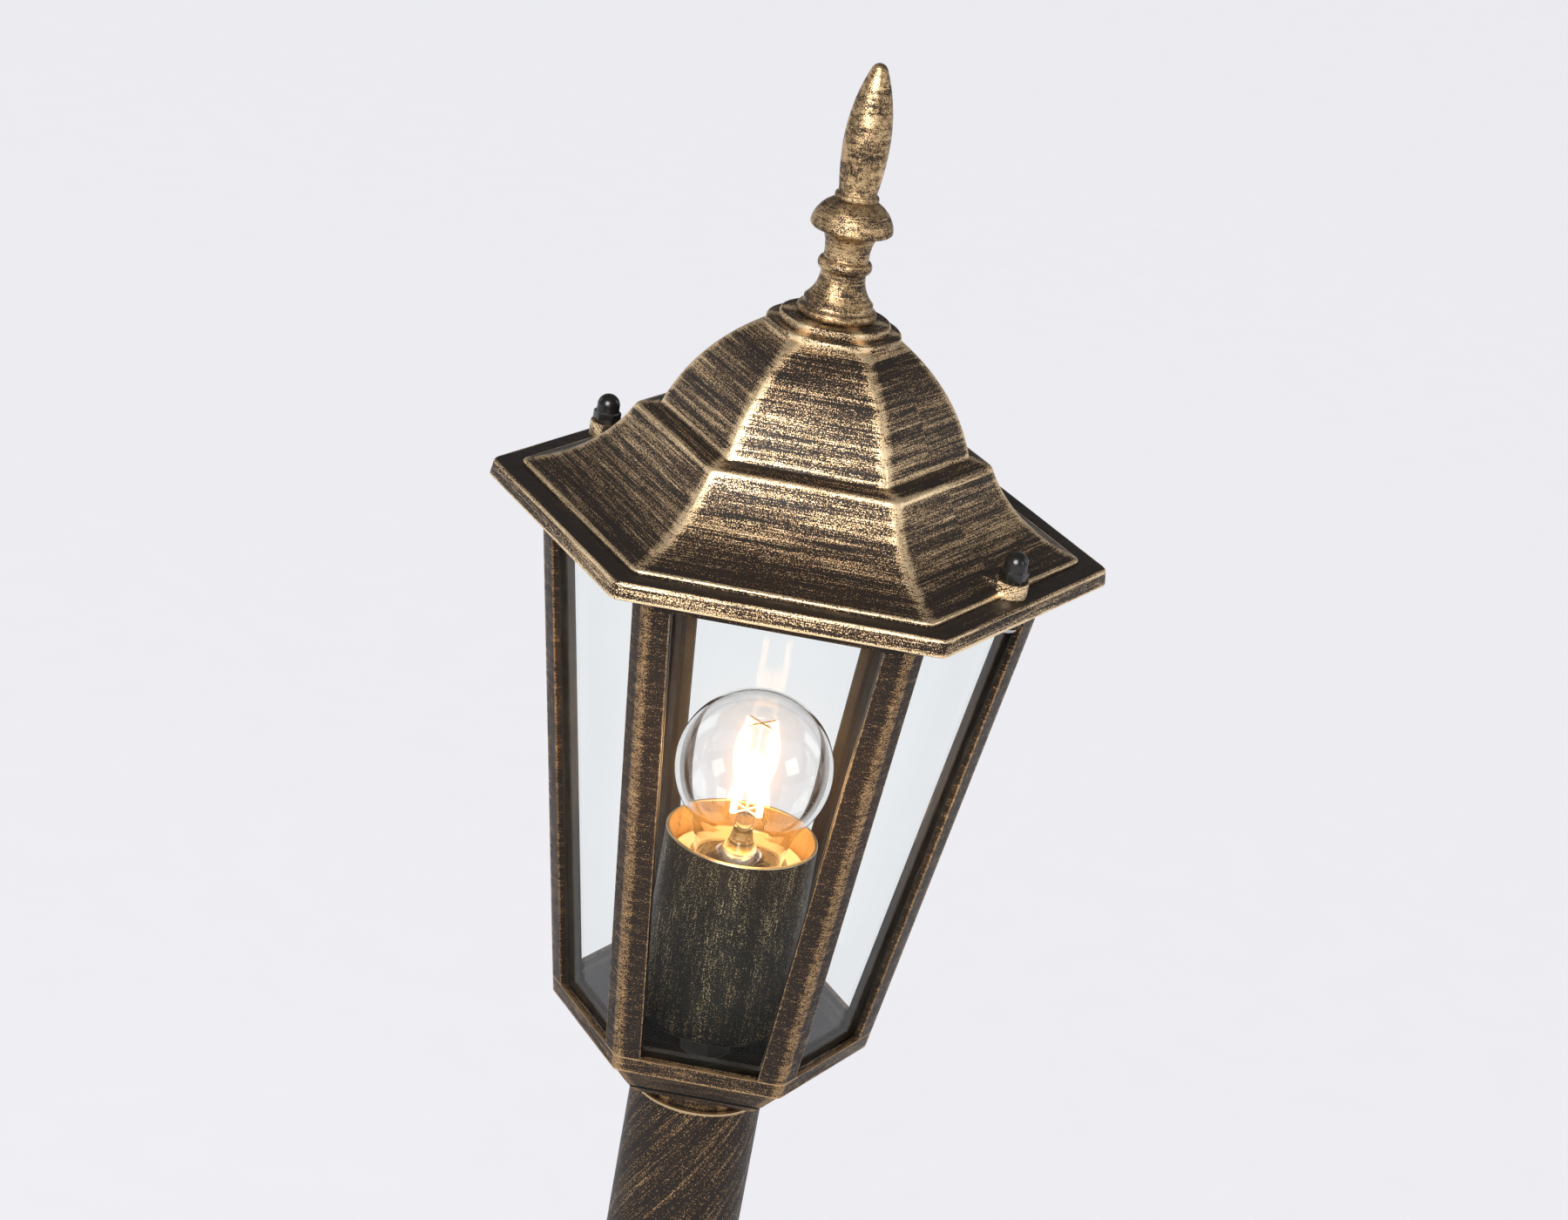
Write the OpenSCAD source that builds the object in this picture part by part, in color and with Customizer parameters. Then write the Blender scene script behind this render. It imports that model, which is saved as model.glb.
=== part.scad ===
// Garden light: six-sided lantern with a finial roof on a round pole and a cast base.
// Millimetres, +Z up, origin at the centre of the base, on the ground.
// The corners of the six-sided parts lie at 0, 60, 120 ... degrees, so one flat side faces -Y.

/* [Base] */
// Diameter of the round base flange
base_d = 160; // [150:1:190]
// Thickness of the base flange
base_plate_h = 8; // [6:0.5:11]
// Rounding of the flange's upper edge
base_edge_r = 2.5; // [1:0.5:4]
// Diameter of the domed middle where it leaves the flange
base_dome_d = 110; // [104:1:114]
// Height of the domed middle above the flange
base_dome_h = 36; // [34:1:44]
// Diameter of the neck that holds the pole
neck_d = 52; // [47:1:58]
// Height of the neck above the dome
neck_h = 18; // [14:1:26]
// Rounding of the bead round the top of the neck
neck_bead_r = 2.2; // [1:0.1:3]
// Depth of the pole's socket
socket_depth = 22; // [16:1:24]
// Wall of the hollow casting
base_wall = 4.5; // [3.5:0.5:5.5]
// Thickness of the socket's floor
socket_floor_t = 6; // [5:0.5:8]
// Circle of the ground bolts
bolt_pcd = 130; // [126:1:136]
// Diameter of the bolt holes
bolt_d = 9; // [6:0.5:10]
// Number of bolt holes
bolt_count = 4; // [3:1:6]

/* [Pole] */
// Outer diameter of the pole
pole_d = 38.8; // [37:0.2:40]
// Wall of the pole
pole_wall = 1.2; // [1:0.1:1.4]
// Length of the pole
pole_len = 454.2; // [300:0.1:900]
// Thickness of the seat plate welded inside the pole
seat_plate_t = 3; // [2:0.5:5]
// Diameter of the hollow threaded rod that clamps the lamp together
rod_d = 10; // [9:0.5:11]
// Bore of the rod
rod_bore_d = 7.6; // [7.2:0.1:8]
// Length of rod that stands out under its lower nut
rod_tail = 2; // [1:0.5:4]

/* [Lantern frame] */
// Width across the corners at the foot of the frame
frame_foot_d = 93.2; // [90:0.2:98]
// Width across the corners at the top of the frame
frame_top_d = 143; // [138:0.5:144]
// Height of the frame from its foot to the underside of the roof
frame_h = 153.5; // [130:0.5:180]
// How much the outer corner of each post is rounded off
post_round = 0.5; // [0.2:0.1:0.8]
// Width of a post's face, from its corner to the window
post_face_w = 7; // [6.5:0.1:9]
// Thickness of the post's outer flange
flange_t = 2; // [1.5:0.1:2.6]
// Thickness of the rib behind the glass
rib_t = 2; // [1.5:0.1:3]
// Metal left between two glass slots in a corner
slot_web = 1.2; // [0.8:0.1:1.8]
// Height of the rail under the windows
bottom_rail_h = 4.8; // [4:0.1:7]
// Height of the ring over the windows
top_ring_h = 6.5; // [5:0.1:9]
// How far the glass goes down into the bottom rail
pane_bite = 2.6; // [1.5:0.1:3]
// Width across the corners of the collar under the frame
collar_d = 86; // [84:0.5:90]
// Height of the collar
collar_h = 11.9; // [11:0.1:14]
// Wall of the collar at its top, where the frame stands on it
collar_wall = 4.5; // [3.8:0.1:5]
// Thickness of the frame's foot inside, where it stands on the collar
foot_ledge_t = 2; // [1.5:0.1:3]
// Radius of the collar's rounded side
collar_r = 8.4; // [6:0.1:9.4]
// Thickness of the lantern's floor
floor_t = 2.5; // [2:0.1:4]
// Diameter of the round spigot that goes into the pole
spigot_d = 34.8; // [33:0.1:35]
// Bore of the spigot
spigot_bore_d = 26; // [22:0.5:28]
// Stretch of spigot that shows between collar and pole
spigot_show = 9.3; // [6:0.1:14]
// Stretch of spigot inside the pole
spigot_in = 20; // [15:1:40]

/* [Glass] */
// Thickness of a pane at its middle
pane_t = 3; // [2.5:0.1:3.4]
// Thickness of a pane at its edge, beside the chamfer
pane_edge_t = 2.5; // [2:0.1:2.8]
// Width of the chamfer round a pane's outer face
pane_bevel_w = 0.6; // [0.3:0.1:1.5]
// Clearance of a pane in its slot
pane_gap = 0.3; // [0.2:0.05:0.4]

/* [Roof] */
// Width of the brim across its flat sides, at its underside
brim_w = 149.8; // [148:0.2:156]
// Inward slope of the brim's edge over its height
brim_draft = 0.7; // [0.2:0.1:1.2]
// Height of the brim's edge
brim_h = 4.9; // [4.4:0.1:6]
// Width across the flat sides of the step where the skirt starts
step_w = 134.8; // [133:0.2:137]
// Height of the step above the brim
step_h = 1.1; // [0.6:0.1:1.8]
// Width across the flat sides at the top of the skirt
skirt_top_w = 85.9; // [84:0.1:88]
// Height of the flared skirt
skirt_h = 22; // [20:0.1:24]
// Radius of the skirt's hollow curve
skirt_r = 39.3; // [36:0.1:44]
// Rise of the ledge between skirt and dome
ledge_rise = 1.3; // [0.8:0.1:2]
// Width of the dome across its flat sides, at its foot
dome_w = 74.6; // [73:0.2:76]
// Height of the dome up to the top of the lower disc
dome_h = 30.1; // [28:0.1:32]
// Width of the dome at that height
dome_crown_w = 32; // [30:0.1:34]
// Radius of the dome's curve
dome_r = 54; // [50:0.5:60]
// Wall of the cast roof
roof_wall = 2.5; // [2:0.1:3]
// Diameter of the lower disc on the dome
lower_disc_d = 37; // [36:0.1:38]
// Height of the lower disc's rim
lower_disc_h = 3.4; // [2:0.1:4]
// Diameter of the upper disc
upper_disc_d = 30.2; // [28:0.1:31]
// Height of the upper disc
upper_disc_h = 2.3; // [2:0.1:3]
// Distance of the roof's two studs from the middle
stud_reach = 67.8; // [67:0.1:69]
// Half width of the raised seats under the cap nuts
seat_r = 4.4; // [4.2:0.1:5]
// Height of these seats above the brim
seat_h = 4.5; // [4:0.1:5]

/* [Finial] */
// Diameter of the finial's foot
finial_foot_d = 21.8; // [20:0.2:24]
// Height of the bell-shaped foot
finial_foot_h = 12; // [11:0.1:14]
// Diameter of the neck above the foot
finial_neck_d = 12.2; // [11:0.1:13]
// Diameter of the mushroom-shaped knop
finial_knop_d = 22.5; // [21:0.1:24]
// Height of the knop's widest point above the finial's foot
finial_knop_z = 26; // [25:0.1:28]
// Diameter of the flame at its widest
flame_d = 12.5; // [11:0.1:14]
// Height of the flame's widest point above the finial's foot
flame_z = 47.7; // [46:0.1:50]
// Height of the whole finial
finial_h = 69.4; // [66:0.1:74]

/* [Fasteners] */
// Thread diameter of the roof's studs
stud_d = 4; // [3.6:0.1:4.4]
// Thread diameter of the finial's stud
finial_stud_d = 5; // [4:0.5:6]
// Running clearance of a thread or a shaft in its bore, on the radius
run_gap = 0.05; // [0.03:0.01:0.08]
// Thickness of the ears that hold the roof's studs
ear_t = 3.2; // [2.6:0.1:3.6]

/* [Lamp] */
// Outer diameter of the cup round the lamp holder
cup_d = 43.8; // [43:0.1:46]
// Height of the cup
cup_h = 58.5; // [56:0.1:64]
// Wall of the cup
cup_wall = 1.2; // [0.8:0.1:1.4]
// Thickness of the cup's floor
cup_floor_t = 2; // [1.5:0.1:3]
// Rounding of the cup's lower edge
cup_edge_r = 3; // [2:0.5:5]
// Height of the long nut that carries the cup
long_nut_h = 11.3; // [8:0.1:16]
// Width of the rod's nuts across their flats
rod_nut_w = 14; // [13:0.5:17]
// Outer diameter of the lamp holder
holder_d = 39.6; // [38:0.2:40]
// How far the holder's rim lies under the cup's rim
holder_drop = 8; // [6:0.1:10]
// Diameter of the bulb
bulb_d = 45; // [44:0.5:46]
// Thickness of the bulb's glass
bulb_glass_t = 0.8; // [0.6:0.1:1]
// Height of the bulb's middle above the rim of the cup
bulb_rise = 20.8; // [20.4:0.1:23]
// Distance from the bulb's middle to the top of its screw cap
bulb_neck_len = 29; // [28.6:0.1:30]
// Diameter of the bulb's neck
bulb_neck_d = 26; // [25:0.1:26.4]
// Outer diameter of the screw cap's thread
thread_d = 26.3; // [26:0.1:26.5]
// Pitch of the screw cap's thread
thread_pitch = 3.6; // [3.4:0.05:3.7]
// Length of a light filament
filament_len = 27; // [20:0.5:29]
// Diameter of a light filament
filament_d = 1.8; // [1.2:0.1:2.4]
// Distance of the filaments from the middle
filament_reach = 5.2; // [4:0.1:6.5]

/* [Wiring] */
// Diameter of the cable inside the rod
cable_d = 6.2; // [5.8:0.1:6.6]
// Radius of the cable's bend under the rod
cable_bend_r = 9; // [8:0.5:10]
// Height of the cable's lower stretch above the ground
cable_z = 12; // [10:0.5:13]
// Length of the terminal block
block_l = 26; // [24:0.5:30]
// Width of the terminal block
block_w = 16; // [14:0.5:18]
// Height of the terminal block
block_h = 12; // [11:0.5:14]
// Distance of the terminal block's middle from the middle of the base
block_reach = 30; // [28:0.5:31]

/* [Hidden] */
$fn = 64;

// Small clearances and overlaps used all over
soft_gap = 0.3;
cut = 1;
sink = 0.2;

// Heights, from the ground up
neck_top_z = base_plate_h + base_dome_h + neck_h;
pole_z = neck_top_z - socket_depth;
base_ceiling_z = pole_z - socket_floor_t;
pole_top_z = pole_z + pole_len;
collar_z = pole_top_z + spigot_show;
floor_z = collar_z + floor_t;
frame_z = collar_z + collar_h;
frame_top_z = frame_z + frame_h;
brim_top_z = frame_top_z + brim_h;
skirt_z = brim_top_z + step_h;
skirt_top_z = skirt_z + skirt_h;
dome_z = skirt_top_z + ledge_rise;
disc_top_z = dome_z + dome_h;
roof_top_z = disc_top_z + upper_disc_h;
cup_z = floor_z + long_nut_h;
holder_z = cup_z + cup_floor_t;
cup_top_z = cup_z + cup_h;
holder_top_z = cup_top_z - holder_drop;
bulb_z = cup_top_z + bulb_rise;

// How far the roof reaches in past the frame's inner wall
roof_overlap = 0.4;

// The tapered hexagon of the lantern frame
cos30 = cos(30);
foot_flat = frame_foot_d / 2 * cos30;
top_flat = frame_top_d / 2 * cos30;
lean = atan((top_flat - foot_flat) / frame_h);
collar_flat = collar_d / 2 * cos30;
slot_t = pane_t + 2 * pane_gap;
wall_t = flange_t + slot_t + rib_t;
slot_inset = (flange_t + slot_t) * tan(30) + slot_web;
function frame_side(h) = (frame_foot_d + (frame_top_d - frame_foot_d) * h / frame_h) / 2;

// Details of the roof
ledge_lip = 1;
lower_disc_edge_r = 0.8;
upper_disc_edge_r = 0.7;

// Centres of the roof's two curves, in the plane across a flat side
function arc_centre(p, q, r) =
    let (d = q - p, half = norm(d) / 2)
    (p + q) / 2 + sqrt(r * r - half * half) * [-d[1], d[0]] / (2 * half);
skirt_c = arc_centre([skirt_top_w / 2, skirt_top_z], [step_w / 2, skirt_z], skirt_r);
dome_c = arc_centre([dome_w / 2, dome_z], [dome_crown_w / 2, disc_top_z], dome_r);
roof_opening = top_flat - wall_t / cos(lean) - roof_overlap;
crown_t = 7;
dome_ceiling_z = disc_top_z - crown_t;

// The base's dome is an arc that starts upright on the flange
base_arc_run = (base_dome_d - neck_d) / 2;
base_arc_r = (base_arc_run * base_arc_run + base_dome_h * base_dome_h) / (2 * base_arc_run);
base_arc_x = base_dome_d / 2 - base_arc_r;

// The rod and what it clamps
washer_t = 1.6;
washer_brim = 6;
rod_nut_h = 6;
rod_clear_r = rod_d / 2 + soft_gap;
seat_z = pole_top_z - spigot_in;
rod_z = base_ceiling_z - washer_t - rod_nut_h - rod_tail;
rod_in_holder = 12;
clamp_nut_turn = 40;
rod_top_z = holder_z + rod_in_holder;

// The bulb's cap, measured down from the bulb's middle
cap_top_z = bulb_z - bulb_neck_len;
cap_len = 22;
insulator_h = 3;
insulator_low_r = 5;
contact_h = 1.5;
contact_low_r = 3;
contact_top_r = 4.5;
cap_wall = 0.8;
plain_len = 5;
cap_rim_h = 2;
first_ring = 3;
bead_r = 1;
cap_core_r = thread_d / 2 - bead_r;
cap_bottom_z = cap_top_z - cap_len;
bulb_contact_z = cap_bottom_z - insulator_h - contact_h;
leaf_t = 1;
leaf_r = 4;
holder_floor_z = bulb_contact_z - leaf_t;
shell_in_r = thread_d / 2 + soft_gap;
shell_t = 0.6;
shell_bead_r = 0.8;
shell_z = cap_bottom_z + 1;
shell_top_z = cap_top_z - cap_rim_h;
wire_room_h = 5;
terminal_x = 12;
terminal_room_w = 6;
terminal_head_r = 2.7;
terminal_head_h = 2;
terminal_room_z = rod_top_z + 0.5;
core_r = 0.9;
core_x = 1.2;
core_z = terminal_room_z + 2;

// The roof's studs and nuts, on the flat sides at 330 and 150 degrees
stud_sides = [1, 4];
nut_hex_w = 7;
nut_hex_h = 3.2;
nut_dome_r = 3.25;
nut_h = 8;
nut_chamfer = 0.4;
nut_z = brim_top_z + seat_h;
stud_head_h = 1.2;
stud_head_brim = 1.4;
stud_in_nut = 5;

// Wiring in the base
block_z = cable_z - block_h / 2;
block_post_r = 4.5;
block_screw_x = block_reach - 3;
block_screw_end = 4;
block_head_r = 2.6;
head_depth = 3;
earth_x = -30;
earth_post_h = 10;
earth_post_r = 5;
earth_screw_r = 2;
earth_head_r = 3.6;
earth_head_h = 2.6;
earth_screw_end = 2;
terminal_x_out = block_reach + 4;
terminal_pitch = 8.2;
terminal_r = 2;
screw_head_h = 2;
small_screw_r = 1.5;
slot_d = 0.8;

// The finial's nut and washer under the dome's ceiling
finial_nut_h = 4;
finial_nut_w = finial_stud_d + 3;
finial_washer_t = 1;
finial_washer_brim = 2.5;

// The glass stem inside the bulb
stem_foot_r = bulb_neck_d / 2 - bulb_glass_t;
stem_r = 2.6;
flare_rim_h = 3;
lead_r = 0.35;
stem_top = -filament_len / 2 - 1;

black = "#2a2622";
gold = "#8a6c3d";

// Turns and moves children to one flat side: X along it, Y up its slope, Z outwards
module on_side(k) {
    rotate([0, 0, 60 * k])
        translate([0, -foot_flat, frame_z])
            rotate([90 + lean, 0, 0])
                children();
}

// Moves children out to the middle of flat side k
module at_stud(k) {
    rotate([0, 0, 60 * k])
        translate([0, -stud_reach, 0])
            children();
}

module hexagon(flat_w, z, h) {
    translate([0, 0, z])
        cylinder(h = h, r = flat_w / 2 / cos30, $fn = 6);
}

// Six level cylinders, one along each flat side, with their axis at centre c and height c[1]
module side_rollers(c, r, length) {
    for (k = [0:5])
        rotate([0, 0, 60 * k])
            translate([0, -c[0], c[1]])
                rotate([0, 90, 0])
                    cylinder(h = length, r = r, center = true, $fn = 96);
}

module tube(outer_r, inner_r, z, h) {
    translate([0, 0, z])
        difference() {
            cylinder(h = h, r = outer_r);
            translate([0, 0, -cut])
                cylinder(h = h + 2 * cut, r = inner_r);
        }
}

// A six-sided nut with chamfered corners and a plain bore
module hex_nut(flat_w, h, bore_r) {
    corner_r = flat_w / 2 / cos30;
    chamfer = (corner_r - flat_w / 2) * tan(30);
    difference() {
        intersection() {
            cylinder(h = h, r = corner_r, $fn = 6);
            rotate_extrude()
                polygon([
                    [0, 0], [flat_w / 2, 0], [corner_r, chamfer],
                    [corner_r, h - chamfer], [flat_w / 2, h], [0, h]
                ]);
        }
        translate([0, 0, -cut])
            cylinder(h = h + 2 * cut, r = bore_r);
    }
}

// Round cast base: flange, hollow dome and the neck that takes the pole
module base_profile() {
    square([base_d / 2 - base_edge_r, base_plate_h]);
    square([base_d / 2, base_plate_h - base_edge_r]);
    translate([base_d / 2 - base_edge_r, base_plate_h - base_edge_r])
        circle(r = base_edge_r);
    intersection() {
        translate([base_arc_x, base_plate_h])
            circle(r = base_arc_r, $fn = 96);
        translate([0, base_plate_h - sink])
            square([base_dome_d / 2, base_dome_h + sink]);
    }
    square([neck_d / 2, neck_top_z]);
    translate([neck_d / 2, neck_top_z - neck_bead_r])
        circle(r = neck_bead_r);
}

module base_hollow_profile() {
    translate([0, -cut])
        square([base_dome_d / 2 - base_wall, base_plate_h + cut]);
    translate([0, -cut])
        square([base_arc_x, base_ceiling_z + cut]);
    intersection() {
        translate([base_arc_x, base_plate_h])
            circle(r = base_arc_r - base_wall, $fn = 96);
        translate([0, base_plate_h - sink])
            square([base_dome_d / 2, base_ceiling_z - base_plate_h + sink]);
    }
}

module base_flange() {
    color(gold)
    difference() {
        union() {
            difference() {
                rotate_extrude() base_profile();
                rotate_extrude() base_hollow_profile();
            }
            block_post();
            earth_post();
        }
        translate([0, 0, pole_z])
            cylinder(h = socket_depth + cut, r = pole_d / 2 + run_gap);
        translate([0, 0, base_ceiling_z - cut])
            cylinder(h = socket_floor_t + 2 * cut, r = rod_clear_r);
        for (i = [0:bolt_count - 1])
            rotate([0, 0, 45 + 360 * i / bolt_count])
                translate([bolt_pcd / 2, 0, -cut])
                    cylinder(h = base_plate_h + 2 * cut, r = bolt_d / 2);
        translate([block_screw_x, 0, block_z])
            cylinder(h = base_ceiling_z - block_z - block_screw_end, r = small_screw_r + run_gap);
        translate([earth_x, 0, base_ceiling_z - earth_post_h - cut])
            cylinder(h = earth_post_h + cut - earth_screw_end, r = earth_screw_r + run_gap);
    }
}

// Post under the base's ceiling that the terminal block hangs from
module block_post() {
    translate([block_screw_x, 0, block_z + block_h])
        cylinder(h = base_ceiling_z - block_z - block_h + cut, r = block_post_r);
}

// Post that takes the earth screw
module earth_post() {
    translate([earth_x, 0, base_ceiling_z - earth_post_h])
        cylinder(h = earth_post_h + cut, r = earth_post_r);
}

// Pole: a tube with a seat plate welded inside, under the lantern's spigot
module pole() {
    color(black) {
        tube(pole_d / 2, pole_d / 2 - pole_wall, pole_z, pole_len);
        tube(pole_d / 2 - pole_wall / 2, rod_clear_r, seat_z - seat_plate_t, seat_plate_t);
    }
}

module tie_rod() {
    color("silver")
        tube(rod_d / 2, rod_bore_d / 2, rod_z, rod_top_z - rod_z);
}

module tie_washer() {
    color("silver")
        tube(rod_d / 2 + washer_brim, rod_d / 2 + run_gap, base_ceiling_z - washer_t, washer_t);
}

module tie_nut() {
    color("silver")
        translate([0, 0, rod_z + rod_tail])
            hex_nut(rod_nut_w, rod_nut_h, rod_d / 2 + run_gap);
}

// Tapered six-sided body of the frame, with its outer corners rounded
module frame_body() {
    intersection() {
        translate([0, 0, frame_z])
            cylinder(h = frame_h, r1 = frame_foot_d / 2, r2 = frame_top_d / 2, $fn = 6);
        translate([0, 0, frame_z])
            cylinder(h = frame_h, r1 = frame_foot_d / 2 - post_round, r2 = frame_top_d / 2 - post_round);
    }
}

// Collar with a quarter-round side
module collar_profile() {
    translate([-collar_flat, collar_z + collar_r])
        square([2 * collar_flat, collar_h - collar_r + sink]);
    translate([-collar_flat + collar_r, collar_z])
        square([2 * (collar_flat - collar_r), collar_r + sink]);
    for (side = [-1, 1])
        translate([side * (collar_flat - collar_r), collar_z + collar_r])
            circle(r = collar_r);
}

module collar() {
    intersection_for (k = [0:2])
        rotate([0, 0, 90 + 60 * k])
            rotate([90, 0, 0])
                linear_extrude(height = 2 * collar_d, center = true)
                    collar_profile();
}

// The space inside the collar, from the lantern's floor up through the frame's foot
module floor_hollow() {
    low_flat = collar_flat - collar_r - floor_t;
    high_flat = collar_flat - collar_wall;
    upright_h = 3;
    slope_h = collar_h - floor_t - upright_h;
    translate([0, 0, floor_z])
        cylinder(h = slope_h, r1 = low_flat / cos30, r2 = high_flat / cos30, $fn = 6);
    hexagon(2 * high_flat, floor_z + slope_h - sink / 10, upright_h + foot_ledge_t + sink);
}

// The lantern's chamber, inside the ribs
module chamber() {
    shrink = wall_t / cos(lean) / cos30;
    low_r = frame_side(foot_ledge_t) - shrink;
    translate([0, 0, frame_z + foot_ledge_t])
        cylinder(h = frame_h - foot_ledge_t, r1 = low_r, r2 = frame_top_d / 2 - shrink, $fn = 6);
    hexagon(2 * (top_flat - wall_t / cos(lean)), frame_top_z - sink / 10, cut);
}

// A trapezium on a flat side, between two heights and inset from the corners
module side_trapezium(inset, low, high) {
    polygon([
        [-frame_side(low) / 2 + inset, low / cos(lean)],
        [frame_side(low) / 2 - inset, low / cos(lean)],
        [frame_side(high) / 2 - inset, high / cos(lean)],
        [-frame_side(high) / 2 + inset, high / cos(lean)]
    ]);
}

module window_cut() {
    translate([0, 0, -wall_t - 2 * cut])
        linear_extrude(height = wall_t + 4 * cut)
            side_trapezium(post_face_w, bottom_rail_h, frame_h - top_ring_h);
}

module pane_slot() {
    translate([0, 0, -flange_t - slot_t])
        linear_extrude(height = slot_t)
            side_trapezium(slot_inset, bottom_rail_h - pane_bite, frame_h + 4 * cut);
}

// Ear on the top ring that holds a roof stud
module stud_ear() {
    translate([0, -stud_reach, frame_top_z - ear_t])
        cylinder(h = ear_t, r = seat_r);
    translate([-seat_r, -stud_reach, frame_top_z - ear_t])
        cube([2 * seat_r, stud_reach - top_flat + flange_t - sink, ear_t]);
}

module lantern_frame() {
    color(gold)
    difference() {
        union() {
            frame_body();
            collar();
            translate([0, 0, seat_z])
                cylinder(h = collar_z - seat_z + sink, r = spigot_d / 2);
            for (k = stud_sides)
                rotate([0, 0, 60 * k]) stud_ear();
        }
        chamber();
        floor_hollow();
        for (k = [0:5])
            on_side(k) {
                window_cut();
                pane_slot();
            }
        for (k = stud_sides)
            at_stud(k)
                translate([0, 0, frame_top_z - ear_t - cut])
                    cylinder(h = ear_t + 2 * cut, r = stud_d / 2 + run_gap);
        translate([0, 0, seat_z - cut])
            cylinder(h = collar_z - seat_z + cut, r = spigot_bore_d / 2);
        translate([0, 0, collar_z - cut])
            cylinder(h = floor_t + 2 * cut, r = rod_clear_r);
    }
}

// Clear pane with a small chamfer round its outer face
module glass_pane(k) {
    inset = slot_inset + pane_gap;
    low = bottom_rail_h - pane_bite;
    high = frame_h - soft_gap - (flange_t + pane_gap + pane_t) * sin(lean);
    color("lightcyan", 0.3)
        on_side(k)
            translate([0, 0, -flange_t - pane_gap - pane_t])
                hull() {
                    linear_extrude(height = pane_edge_t)
                        side_trapezium(inset, low, high);
                    linear_extrude(height = pane_t)
                        side_trapezium(inset + pane_bevel_w, low + pane_bevel_w, high - pane_bevel_w);
                }
}

// Stud that stands in an ear of the frame and passes through the brim
module roof_stud(k) {
    color("dimgray")
        at_stud(k) {
            translate([0, 0, frame_top_z - ear_t])
                cylinder(h = nut_z + stud_in_nut - frame_top_z + ear_t, r = stud_d / 2);
            translate([0, 0, frame_top_z - ear_t - stud_head_h])
                cylinder(h = stud_head_h, r = stud_d / 2 + stud_head_brim);
        }
}

// Black domed nut on the roof
module cap_nut(k) {
    corner_r = nut_hex_w / 2 / cos30;
    color("#181818")
        at_stud(k)
            translate([0, 0, nut_z])
                difference() {
                    union() {
                        intersection() {
                            cylinder(h = nut_hex_h, r = corner_r, $fn = 6);
                            rotate_extrude()
                                polygon([
                                    [0, 0], [corner_r, 0], [corner_r, nut_hex_h - nut_chamfer],
                                    [nut_hex_w / 2, nut_hex_h], [0, nut_hex_h]
                                ]);
                        }
                        rotate_extrude() {
                            square([nut_dome_r, nut_h - nut_dome_r]);
                            intersection() {
                                translate([0, nut_h - nut_dome_r])
                                    circle(r = nut_dome_r);
                                square([nut_dome_r, nut_h]);
                            }
                        }
                    }
                    translate([0, 0, -cut])
                        cylinder(h = stud_in_nut + soft_gap + cut, r = stud_d / 2 + run_gap);
                }
}

// Brim: a thin six-sided plate with a sloping edge
module brim() {
    translate([0, 0, frame_top_z])
        cylinder(h = brim_h, r1 = brim_w / 2 / cos30, r2 = (brim_w / 2 - brim_draft) / cos30, $fn = 6);
}

// Skirt: six sides hollowed by level rollers
module skirt() {
    difference() {
        hexagon(step_w, brim_top_z - sink, step_h + skirt_h + sink);
        side_rollers(skirt_c, skirt_r, 2 * brim_w);
    }
}

// Dome: what six large level rollers have in common
module dome() {
    intersection() {
        hexagon(dome_w, skirt_top_z - sink, ledge_rise + dome_h + sink);
        intersection_for (k = [0:5])
            rotate([0, 0, 60 * k])
                translate([0, -dome_c[0], dome_c[1]])
                    rotate([0, 90, 0])
                        cylinder(h = 2 * brim_w, r = dome_r, center = true, $fn = 96);
    }
}

// Ledge that closes the skirt at its top and carries the dome
module ledge() {
    translate([0, 0, skirt_top_z - sink])
        cylinder(
            h = ledge_rise + sink, r1 = skirt_top_w / 2 / cos30,
            r2 = (dome_w / 2 + ledge_lip) / cos30, $fn = 6
        );
}

module rounded_disc(d, z, h, edge_r) {
    translate([0, 0, z])
        rotate_extrude() {
            square([d / 2 - edge_r, h]);
            translate([0, edge_r])
                square([d / 2, h - 2 * edge_r]);
            for (y = [edge_r, h - edge_r])
                translate([d / 2 - edge_r, y])
                    circle(r = edge_r);
        }
}

// Level seat that runs out from the skirt to a cap nut
module nut_seat() {
    translate([0, -stud_reach, brim_top_z - sink])
        cylinder(h = seat_h + sink, r = seat_r);
    translate([-seat_r, -stud_reach, brim_top_z - sink])
        cube([2 * seat_r, stud_reach - roof_opening - roof_wall, seat_h + sink]);
}

module roof_hollow() {
    difference() {
        hexagon(2 * roof_opening, frame_top_z - cut, skirt_top_z - roof_wall - frame_top_z + cut);
        side_rollers(skirt_c, skirt_r + roof_wall, 2 * brim_w);
    }
    intersection() {
        hexagon(dome_w, skirt_top_z - 2 * roof_wall, dome_ceiling_z - skirt_top_z + 2 * roof_wall);
        intersection_for (k = [0:5])
            rotate([0, 0, 60 * k])
                translate([0, -dome_c[0], dome_c[1]])
                    rotate([0, 90, 0])
                        cylinder(h = 2 * brim_w, r = dome_r - roof_wall, center = true, $fn = 96);
    }
}

module roof() {
    color(gold)
    difference() {
        union() {
            brim();
            skirt();
            ledge();
            dome();
            rounded_disc(lower_disc_d, disc_top_z - lower_disc_h, lower_disc_h, lower_disc_edge_r);
            rounded_disc(upper_disc_d, disc_top_z - sink, upper_disc_h + sink, upper_disc_edge_r);
            for (k = stud_sides)
                rotate([0, 0, 60 * k]) nut_seat();
        }
        roof_hollow();
        for (k = stud_sides)
            at_stud(k)
                translate([0, 0, frame_top_z - cut])
                    cylinder(h = brim_h + seat_h + 2 * cut, r = stud_d / 2 + soft_gap);
        translate([0, 0, dome_ceiling_z - cut])
            cylinder(h = roof_top_z - dome_ceiling_z + 2 * cut, r = finial_stud_d / 2 + soft_gap);
    }
}

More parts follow.
